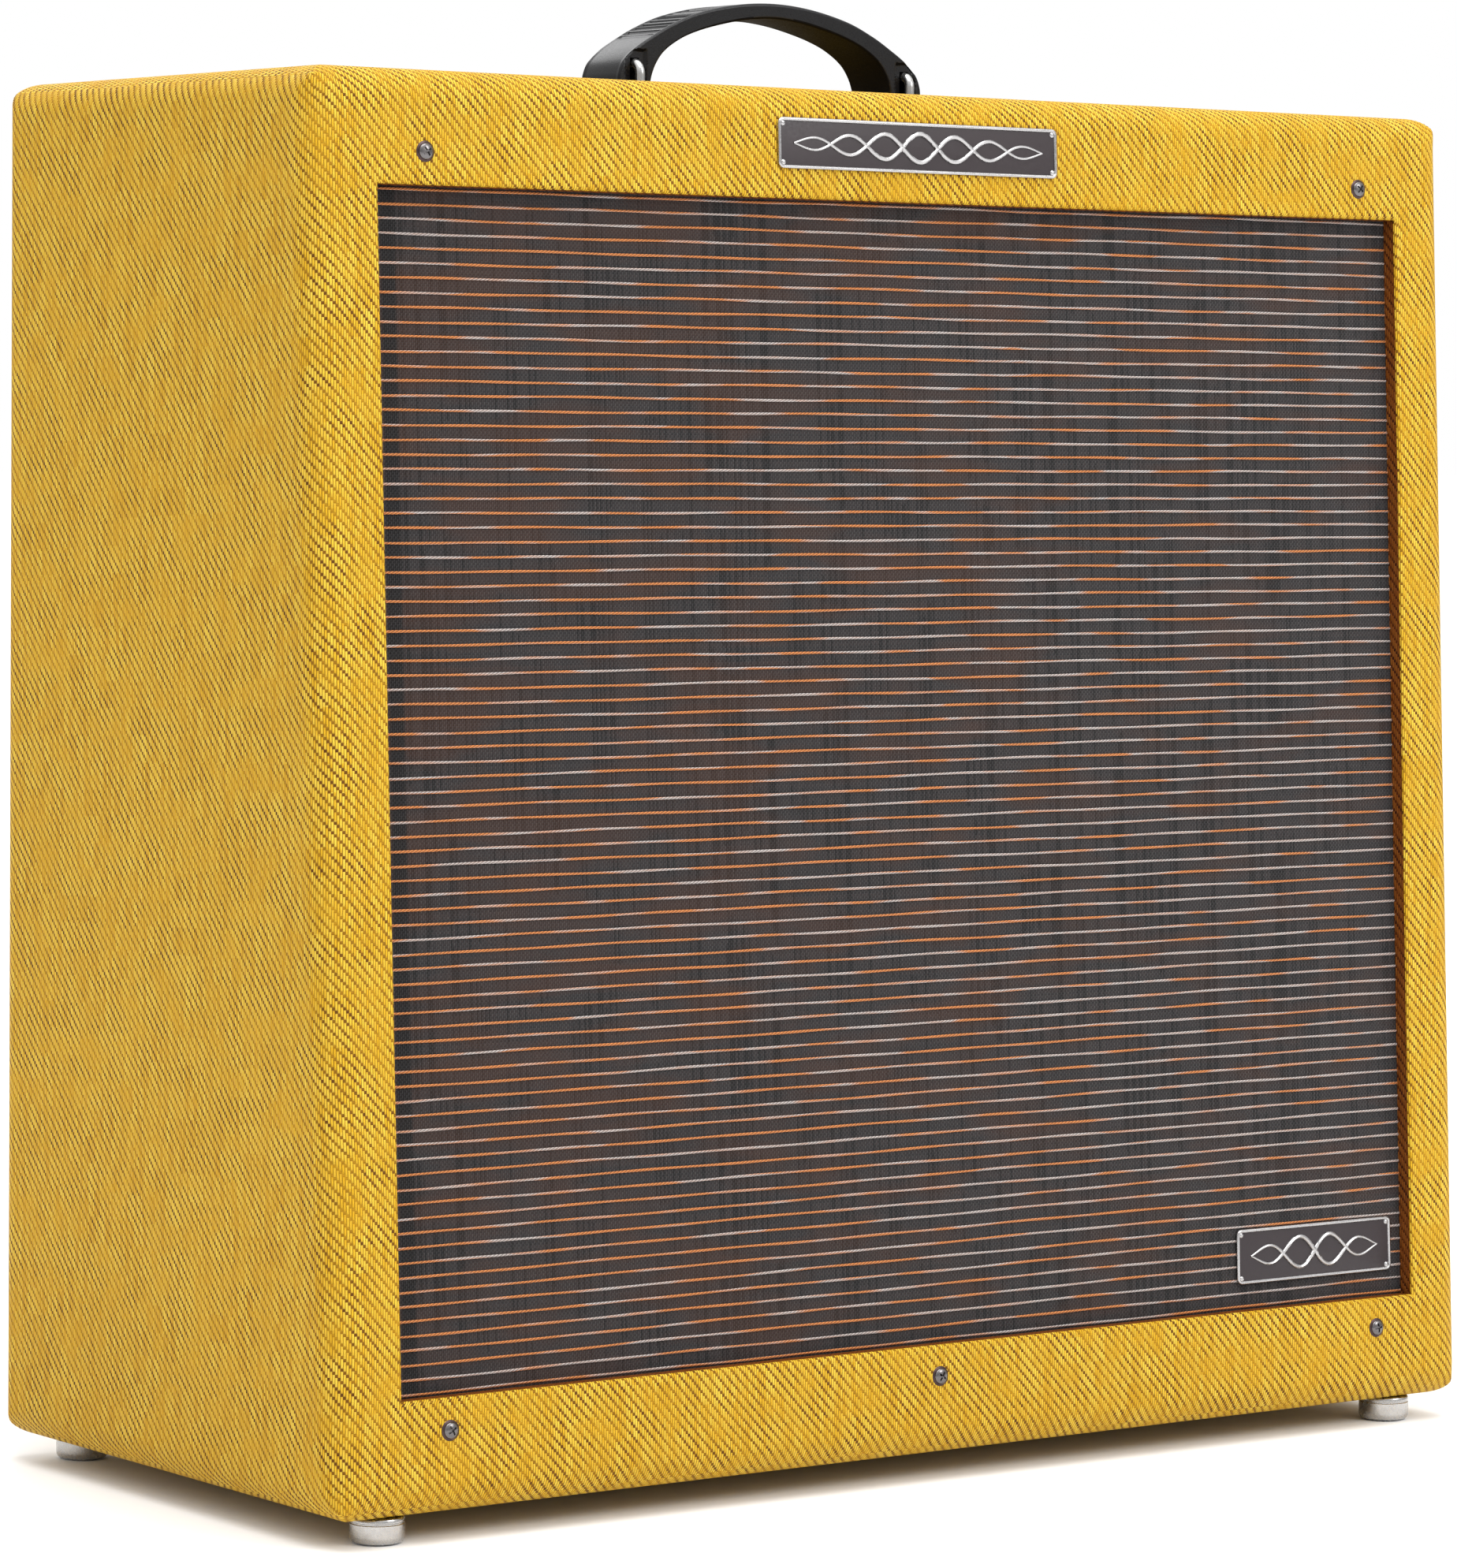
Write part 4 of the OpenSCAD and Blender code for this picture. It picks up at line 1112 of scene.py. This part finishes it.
def front_screws():
    """Five oval-head screws through the rails, in small cup washers coloured near black as a painted shadow
    ring round each head.
    """
    places = [on_front(x, up) for x, up in ((-245.5, 535), (245.5, 535), (-245.5, 34), (0, 34), (245.5, 34))]
    screws = [cupped_screw(place, (4.2, 3.2, 0.7), (3.3, 1.3, 0.8)) for place in places]
    finished(joined("front_screw_heads", [head for _, head in screws]), "nickel", "screw", "baffle_screws")
    finished(joined("front_screw_cups", [cup for cup, _ in screws]), "nickel", "screw_cup")


def panel_screws():
    """Screws in cup washers down both edges of the back panels."""
    low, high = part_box("back_panel_screws")
    boxes = [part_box(node) for node in ("upper_back_panel", "lower_back_panel")]
    pieces = []
    for x in (low.x + 5 * MM, high.x - 5 * MM):
        for z in [z for box in boxes for z in (box[0].z + 20 * MM, box[1].z - 20 * MM)]:
            place = Matrix.Translation((x, boxes[0][1].y, z)) @ turn(-90, "X")
            pieces += cupped_screw(place, (5, 3.3, 0.8), (3.4, 1.2, 0.8))
    finished(joined("panel_screw_heads", pieces), "nickel", replaces="back_panel_screws")


def feet():
    """Pressed glides: rounded tread, straight wall, and a rolled lip under the board."""
    low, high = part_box("glide_feet")
    radius = 11
    profile = [(0, 0), (7.4, 0), (9.2, 0.25), (10.3, 0.9), (10.9, 2.0), (radius, 3.2), (radius, 8.0),
               (10.7, 8.3), (10.7, 8.7), (radius, 9.0), (radius, 9.9), (10.7, 10.5), (9.8, 10.9), (0, 10.9)]
    pieces = []
    for x in (low.x + radius * MM, high.x - radius * MM):
        for y in (low.y + radius * MM, high.y - radius * MM):
            pieces.append(lathed("glide", profile, Matrix.Translation((x, y, 0)), 72))
    finished(joined("glides", pieces), "nickel", "foot", "glide_feet")


# ------------------------------------------------------------------ back panels

def woven_by_facing(piece):
    """Woven coordinates in metres, laid on each face from the side it faces."""
    mesh = piece.data
    layer = mesh.uv_layers.new(name=UV_NAME)
    for polygon in mesh.polygons:
        facing = max(range(3), key=lambda k: abs(polygon.normal[k]))
        a, b = ((1, 2), (0, 2), (0, 1))[facing]
        for k in polygon.loop_indices:
            place = mesh.vertices[mesh.loops[k].vertex_index].co
            layer.data[k].uv = (5 - place[a], place[b])
    return piece


def back_panels():
    """Covered plywood panels with soft edges; the upper one has the connector window."""
    for node in ("upper_back_panel", "lower_back_panel"):
        middle, size = middle_and_size(node)
        inner_y = middle.y - size.y / 2
        place = Matrix.Translation((middle.x, inner_y, middle.z)) @ turn(-90, "X")
        outline = rounded_outline(size.x / MM, size.z / MM, 3)
        board = slab("covered_" + node, outline, 0, size.y / MM, place)
        if node == "upper_back_panel":
            through = Matrix.Translation((157.5 * MM, inner_y, rear_z)) @ turn(-90, "X")
            cut(board, slab("window", rounded_outline(175, 40, 2), -5, 15, through))
        bevelled(board, 2, 4, 60)
        finished(woven_by_facing(board), "tweed", replaces=node, smooth=40)


# ------------------------------------------------------------------ control panel

KNOBS = ["presence", "middle", "bass", "treble", "volume_bright", "volume_normal"]
TOGGLES = {"power": 225, "standby": 190}


def middle_x(node):
    return middle_and_size(node)[0].x / MM


def hexagon(across, limit=math.inf):
    """Reach of a hexagonal outline by angle, cut off at a round limit."""
    return lambda angle: min(across / 2 / math.cos((angle % (math.pi / 3)) - math.pi / 6), limit)


def fluted(radius, depth, count):
    """Reach of a fluted outline by angle."""
    return lambda angle: radius - depth * (0.5 + 0.5 * math.cos(count * angle))


def pointer_knobs():
    """Fluted skirts with a crowned pointer on top, each with a filled white line."""
    corners = [(-5, 10), (0, 12.4), (5, 10), (5.6, -4), (2.2, -15), (0, -17.4), (-2.2, -15), (-5.6, -4)]
    outline = [tuple(p) for p in spline(corners, 5, closed=True)]
    grip = fluted(9.5, 0.3, 30)
    skirt = [(3.05, 3.4), (9.2, 3.4), (grip, 3.8), (grip, 7.2), (9.1, 8.1), (8.6, 8.4), (3.05, 8.4)]
    mark = [(0.45, -5), (0.45, -15.4), (0, -16), (-0.45, -15.4), (-0.45, -5)]
    shaft = [(0, -10), (2.7, -10), (3, -9.7), (3, 4.6), (2.7, 5), (0, 5)]
    for name in KNOBS:
        place = on_panel(middle_x("knob_" + name))
        body = name + "_control"
        pointer = slab("pointer", outline, 5, 18, place, 1.1, 4)
        knob = joined("knob_body_" + name, [lathed("skirt", skirt, place, 120, ring=True), pointer])
        finished(knob, "knob_black", replaces="knob_" + name, body=body, smooth=38)
        finished(slab("line_" + name, mark, 17.8, 18.1, place), "knob_black", "marking_white", body=body)
        finished(lathed("shaft_" + name, shaft, place, 40), "knob_black", "steel", body=body)


def number_mesh(number, size):
    """A printed number as a thin solid."""
    curve = bpy.data.curves.new("number", "FONT")
    curve.body = str(number)
    curve.size = size * MM
    curve.align_x = "CENTER"
    curve.align_y = "CENTER"
    curve.extrude = 0.05 * MM
    curve.resolution_u = 3
    written = link("number", curve)
    bpy.context.view_layer.update()
    mesh = bpy.data.meshes.new_from_object(written)
    bpy.data.objects.remove(written)
    return mesh


def placed_copy(name, mesh, matrix):
    piece = link(name, mesh.copy())
    piece.data.transform(matrix)
    return piece


def dial_marks():
    """Ticks and the numbers 1 to 12 round every knob, upright for a player behind."""
    numbers = {n: number_mesh(n, 3.4) for n in range(1, 13)}
    tick = [(-0.25, -16), (0.25, -16), (0.25, -14), (-0.25, -14)]
    pieces = []
    for name in KNOBS:
        place = on_panel(middle_x("knob_" + name))
        for n, mesh in numbers.items():
            angle = 150 - (n - 1) * 300 / 11
            turned = place @ turn(angle, "Z")
            pieces.append(slab("tick", tick, 0, 0.1, turned))
            pieces.append(placed_copy("digits", mesh, turned @ shift(0, -18, 0.06) @ turn(180 - angle, "Z")))
    finished(joined("dial_marks", pieces), "chrome_panel", "marking_black", smooth=0)


def panel_nuts():
    """Chamfered nuts on the controls, jacks and switches, each turned a little."""
    jacks = [n for n in nodes if n.startswith("input_jack")]
    spots = [(middle_x(n), 12.7, 4.75) for n in ["knob_" + k for k in KNOBS] + jacks]
    spots += [(x, 15, 6.05) for x in TOGGLES.values()]
    nuts = []
    for x, across, hole in spots:
        side, soft = hexagon(across), hexagon(across, across * 0.53)
        nut = [(hole, 0), (soft, 0), (side, 0.4), (side, 1.8), (soft, 2.2), (hole + 0.3, 2.2), (hole, 1.9)]
        turned = on_panel(x) @ Matrix.Rotation(random.uniform(0, 1), 4, "Z")
        nuts.append(lathed("nut", nut, turned, 96, ring=True))
    finished(joined("chamfered_nuts", nuts), "nickel", replaces="panel_nuts")


def bat_levers():
    """Toggle levers that swell towards their tips, each on its pivot pin."""
    bat = [(0, -4), (1.4, -4), (1.5, -3.8), (1.45, 4), (1.6, 8), (2.0, 11), (2.42, 14), (2.6, 15.4),
           (2.5, 16.3), (2.0, 17.1), (1.2, 17.5), (0, 17.6)]
    ends = [(0, y, 0) for y in (-4.8, -4.6, 4.6, 4.8)]
    for name, x in TOGGLES.items():
        pivot = on_panel(x) @ shift(0, 0, 1)
        pin = tube("pin", ends, lambda s: 1.0 if 0.1 < s < 0.9 else 0.8, pivot, 20)
        lever = joined("bat_lever_" + name, [lathed("bat", bat, pivot @ turn(12, "Y"), 32), pin])
        finished(lever, "nickel", replaces="toggle_lever_" + name, body=name + "_toggle")


def pilot_lamp():
    """A cut jewel in a turned bezel."""
    place = on_panel(middle_x("pilot_jewel"))
    cut_glass = [(0, 0.85), (8, 0.85), (8, 3.6), (7.5, 4.4), (6.1, 6.7), (4.4, 8.3), (3, 8.85), (0, 8.85)]
    finished(lathed("cut_jewel", cut_glass, place, 12), "jewel", replaces="pilot_jewel", smooth=0)
    bezel = [(8.1, 0), (10, 0), (10, 1.5), (9.7, 2.4), (9.1, 2.9), (8.6, 3), (8.1, 2.6)]
    holder = [(0, -20), (6.6, -20), (7, -19.6), (7, 0.3), (5.6, 0.3), (5.6, -18), (0, -18)]
    pieces = [lathed("bezel", bezel, place, 72, ring=True), lathed("holder", holder, place, 48)]
    finished(joined("lamp_bezel", pieces), "nickel", replaces="pilot_lamp_holder")


# ------------------------------------------------------------------ rear wall of the chassis

def selector_knob():
    """Fluted round knob with a raised pointer and a white line."""
    place = on_rear_wall(92)
    grip = fluted(7, 0.3, 24)
    knob = [(3.05, 1.5), (6.7, 1.5), (grip, 1.9), (grip, 10.4), (6.5, 11.5), (5.6, 12), (0, 12), (0, 9),
            (3.05, 9)]
    pointer = [(1.2, 0), (1.2, -8.6), (0.6, -9.5), (-0.6, -9.5), (-1.2, -8.6), (-1.2, 0)]
    pointer = slab("pointer", pointer, 1.5, 11.9, place, 0.35)
    knob = joined("selector_body", [lathed("grip", knob, place, 96), pointer])
    finished(knob, "knob_black", replaces="selector_knob", body="selector", smooth=38)
    line = slab("selector_line", [(0.35, -2), (0.35, -8.8), (-0.35, -8.8), (-0.35, -2)], 11.8, 12.1, place)
    finished(line, "knob_black", "marking_white", body="selector")
    shaft = lathed("selector_shaft", [(0, -10), (3, -10), (3, 8.6), (2.6, 9), (0, 9)], place, 32)
    finished(shaft, "knob_black", "steel", body="selector")


def mains_inlet():
    """Flanged inlet with a keyed well, three blades and two fixing screws."""
    place = on_rear_wall(215)
    flange = slab("flange", rounded_outline(48, 27, 5), 0, 2.4, place, 0.5)
    mouth = [(-12, 8), (-12, -5), (-9, -8), (9, -8), (12, -5), (12, 8)]
    shell = [(a * 1.14, b * 1.18) for a, b in mouth]
    cut(flange, slab("opening", shell, -1, 4, place))
    well = slab("well", shell, -18, 3, place, 0.4)
    cut(well, slab("recess", mouth, -15.5, 8, place))
    finished(joined("inlet_shell", [flange, well]), "socket_black", replaces="mains_inlet")
    blades = []
    for x, y in ((-7, -1.5), (7, -1.5), (0, -4)):
        blades.append(bevelled(box_piece("blade", (x - 1, y - 2, -16), (x + 1, y + 2, -3), place), 0.6))
    for x in (-19, 19):
        blades.append(cross_head(3.2, 1.1, 0.7, place @ shift(x, 0, 2.5)))
    finished(joined("inlet_blades", blades), "nickel")


def line_output():
    """Round three-pin socket in a riveted plate."""
    place = on_rear_wall(150)
    plate = slab("plate", rounded_outline(26, 31, 2.5), 0, 1.8, place, 0.35)
    cut(plate, slab("opening", circle(9.3, 72), -1, 4, place))
    barrel = [(9.3, -13.5), (0, -13.5), (0, -16), (10.6, -16), (11, -15.6), (11, 2.2), (10.4, 2.8),
              (9.7, 2.8), (9.3, 2.3)]
    rivet = [(0, 1.6), (2.3, 1.6), (2.2, 2.3), (1.4, 2.8), (0, 2.9)]
    rivets = [lathed("rivet", rivet, place @ shift(s * 9.8, s * 12.3), 24) for s in (-1, 1)]
    shell = joined("line_shell", [plate, lathed("barrel", barrel, place, 72)] + rivets)
    finished(shell, "nickel", replaces="line_out_socket")
    insert = [(0, -13.4), (9.2, -13.4), (9.2, -12.2), (8.6, -11.8), (0, -11.8)]
    finished(lathed("line_insert", insert, place, 48), "socket_black")
    pin = [(0, -12), (1.2, -12), (1.2, -3.5), (0.6, -3), (0, -3)]
    pins = [lathed("pin", pin, place @ shift(x, y), 24) for x, y in ((-3.8, -2), (3.8, -2), (0, -5.5))]
    finished(joined("line_pins", pins), "nickel", "steel")


# ------------------------------------------------------------------ speakers

def cone_height(r):
    """Height of the basket's outer cone at a radius, in millimetres."""
    return 6.5 + (110 - r) * 35.5 / 50


def basket_mesh():
    """Pressed basket: rim, four dished arms with rolled edges and a raised rib, and the neck."""
    profile = [(109.5, 5), (126.6, 5), (127, 5.4), (127, 6.1), (126.6, 6.5), (112, 6.5), (110, 7.4),
               (62, 41.6), (60, 44), (60, 51), (59, 52), (20, 52), (20, 50.5), (58.5, 50.5), (58.5, 42),
               (60, 40), (108, 6)]
    shell = lathed("shell", profile, steps=144, ring=True)
    half_window = [(50, 24), (58, 28.6), (80, 37.4), (100, 45), (105, 43), (107, 20)]
    window = [(x, -y) for x, y in half_window] + half_window[::-1]
    window = [tuple(p) for p in spline(window, 3)]
    edge = [(x, 25.6 + (x - 52) * 0.404) for x in [54 + 3.3 * k for k in range(15)]]
    rib = [(r, 0, cone_height(r) + 0.1) for r in range(64, 109, 4)]
    pieces = []
    for quarter in [turn(90 * k, "Z") for k in range(4)]:
        diagonal = quarter @ turn(45, "Z")
        cut(shell, slab("window", window, 9, 45, quarter))
        cut(shell, slab("hole", circle(2.4, 16), 3, 9, diagonal @ shift(121, 0)))
        for side in (-1, 1):
            rolled = [(x, side * (y + 0.9), cone_height(math.hypot(x, y)) + 0.2) for x, y in edge]
            pieces.append(tube("flange", rolled, 1.5, quarter, 8))
        pieces.append(tube("rib", rib, lambda s: 0.6 + 2.2 * math.sin(math.pi * s) ** 0.5, diagonal))
    made = joined("basket", [shell] + pieces)
    mesh = made.data
    bpy.data.objects.remove(made)
    return mesh


def wall_of(line, below, above):
    """A closed profile round a line of (radius, height) points, from below it to above it."""
    return [(r, h + above) for r, h in line] + [(r, h - below) for r, h in reversed(line)]


def speaker_meshes():
    """The shared meshes of one speaker, in its own axes with +Z towards the back."""
    waves = [(17.3 + k * 41 / 48, 47.9 + 0.75 * math.sin(k * math.pi / 4)) for k in range(49)]
    plates = [(17.4, 52.1), (45.6, 52.1), (46, 52.5), (46, 56.7), (45.6, 57.1), (17.4, 57.1)]
    back = [(4, 51), (15.4, 51), (15.4, 75.3), (47, 75.3), (48, 76.3), (48, 80), (46.8, 81.3), (30, 81.3),
            (29.4, 80.9), (28.8, 81.3), (9, 81.3), (8, 80.5), (4, 80.5)]
    ferrite = [(24, 57.2), (49, 57.2), (50, 58.2), (50, 74.2), (49, 75.2), (24, 75.2)]
    paper = []
    for k in range(61):
        ridge = 0.5 * max(0, math.sin(k * math.pi / 3)) if k < 26 else 0
        paper.append((104.5 - k * 86.5 / 60, 1.9 + k * 41.8 / 60 + ridge))
    turns = [math.radians(44.5) * k / 16 for k in range(17)]
    cap = [(28 * math.sin(a), 62 - 28 * math.cos(a)) for a in turns]
    rolls = [(103.5 + k * 10.5 / 40, 2.0 + 0.9 * math.sin(k * math.pi / 10)) for k in range(41)]
    made = {"basket": [basket_mesh()]}
    for name, *profiles in (
        ("spider", wall_of(waves, 0.3, 0.3)),
        ("plates", plates, back),
        ("ferrite", ferrite),
        ("paper", wall_of(paper, 0, 0.9), cap + [(19, 42.8), (0, 34.9)]),
        ("surround", wall_of(rolls, 0.3, 0.3)),
        ("former", [(16, 43), (16.6, 43), (16.6, 58), (16, 58)]),
    ):
        made[name] = []
        for profile in profiles:
            piece = lathed(name, profile, steps=120, ring=profile[0][0] > 0)
            made[name].append(piece.data)
            bpy.data.objects.remove(piece)
    return made


def speakers():
    """Four speakers behind the baffle. Cone, surround and coil former ride on the cone's body."""
    meshes = speaker_meshes()
    parts = (
        ("basket", "basket", "basket", "speaker_basket"),
        ("spider", "cone_paper", "spider", None),
        ("ferrite", "magnet", "magnet", "speaker_magnet"),
        ("plates", "magnet", "steel", None),
        ("paper", "cone_paper", "cone_paper", "speaker_cone"),
        ("surround", "cone_paper", "surround", None),
        ("former", "cone_paper", "former", None),
    )
    for i, (x, up) in enumerate(((-133, 413.5), (133, 413.5), (-133, 155.5), (133, 155.5)), 1):
        place = FRONT @ shift(x, 21, up) @ turn(-90, "X")
        for part, slot, look, replaced in parts:
            piece = joined("%s_%d" % (part, i), [placed_copy(part, mesh, place) for mesh in meshes[part]])
            body = "cone_%d" % i if part in ("paper", "surround", "former") else "cabinet"
            finished(piece, slot, look, replaced and "%s_%d" % (replaced, i), body, smooth=35)


woven_cover()
grille()
strap_handle()
handle_wires()
badge("badge_top", "nameplate_top", up=544.5, tall=21, depth=0, loops=7)
badge("badge_small", "nameplate_small", up=70, tall=24, depth=window_depth / MM, loops=4)
front_screws()
panel_screws()
feet()
back_panels()
pointer_knobs()
dial_marks()
panel_nuts()
bat_levers()
pilot_lamp()
selector_knob()
mains_inlet()
line_output()
speakers()

# ------------------------------------------------------------------ floor, light and camera

def studio():
    """White floor, surroundings that brighten overhead, and large soft lights."""
    build = bmesh.new()
    bmesh.ops.create_grid(build, x_segments=1, y_segments=1, size=30)
    floor = mesh_of("studio_floor", build)
    white = Graph("floor_white", Specular_IOR_Level=0.0)
    floor.data.materials.append(white.finish((0.88, 0.88, 0.88, 1), 0.9))

    sky = Graph("studio", world=True, Color=(1, 1, 1, 1))
    _, _, up = sky.split(sky.place("Generated"))
    seen = Value(sky, sky.node("ShaderNodeLightPath").outputs["Is Camera Ray"])
    sky.feed(sky.shader.inputs["Strength"], sky.math("MAXIMUM", sky.span(up, 0, 0.8, 0.45, 1.5), seen))
    bpy.context.scene.world = sky.made

    for name, place, size, power in (
        ("key", (1.5, -2.9, 2.2), 1.6, 50),
        ("overhead", (-0.3, -0.6, 2.9), 2.6, 62),
        ("rim", (0.5, 2.6, 2.4), 1.6, 12),
    ):
        data = bpy.data.lights.new(name, "AREA")
        data.shape = "DISK"
        data.size = size
        data.energy = power
        lamp = link(name, data)
        lamp.location = place
        lamp.rotation_euler = (Vector((0, 0, 0.3)) - Vector(place)).to_track_quat("-Z", "Y").to_euler()


def camera():
    """The photograph's viewpoint: in front, to the left, and about three quarters of the way up."""
    place = Vector((-1.5526, -2.0757, 0.4471))
    yaw, pitch, roll = math.radians(36.52), math.radians(3.589), -0.0108
    ahead = Vector((math.sin(yaw) * math.cos(pitch), math.cos(yaw) * math.cos(pitch), -math.sin(pitch)))
    right = Vector((math.cos(yaw), -math.sin(yaw), 0))
    up = right.cross(ahead)
    turned_right = right * math.cos(roll) - up * math.sin(roll)
    turned_up = right * math.sin(roll) + up * math.cos(roll)
    data = bpy.data.cameras.new("camera")
    data.sensor_width = 36
    data.lens = 138.1
    data.clip_end = 100
    made = link("camera", data)
    axes = Matrix((turned_right, turned_up, -ahead)).transposed().to_4x4()
    made.matrix_world = Matrix.Translation(place) @ axes
    bpy.context.scene.camera = made


studio()
camera()
bpy.context.scene.view_settings.view_transform = "Standard"
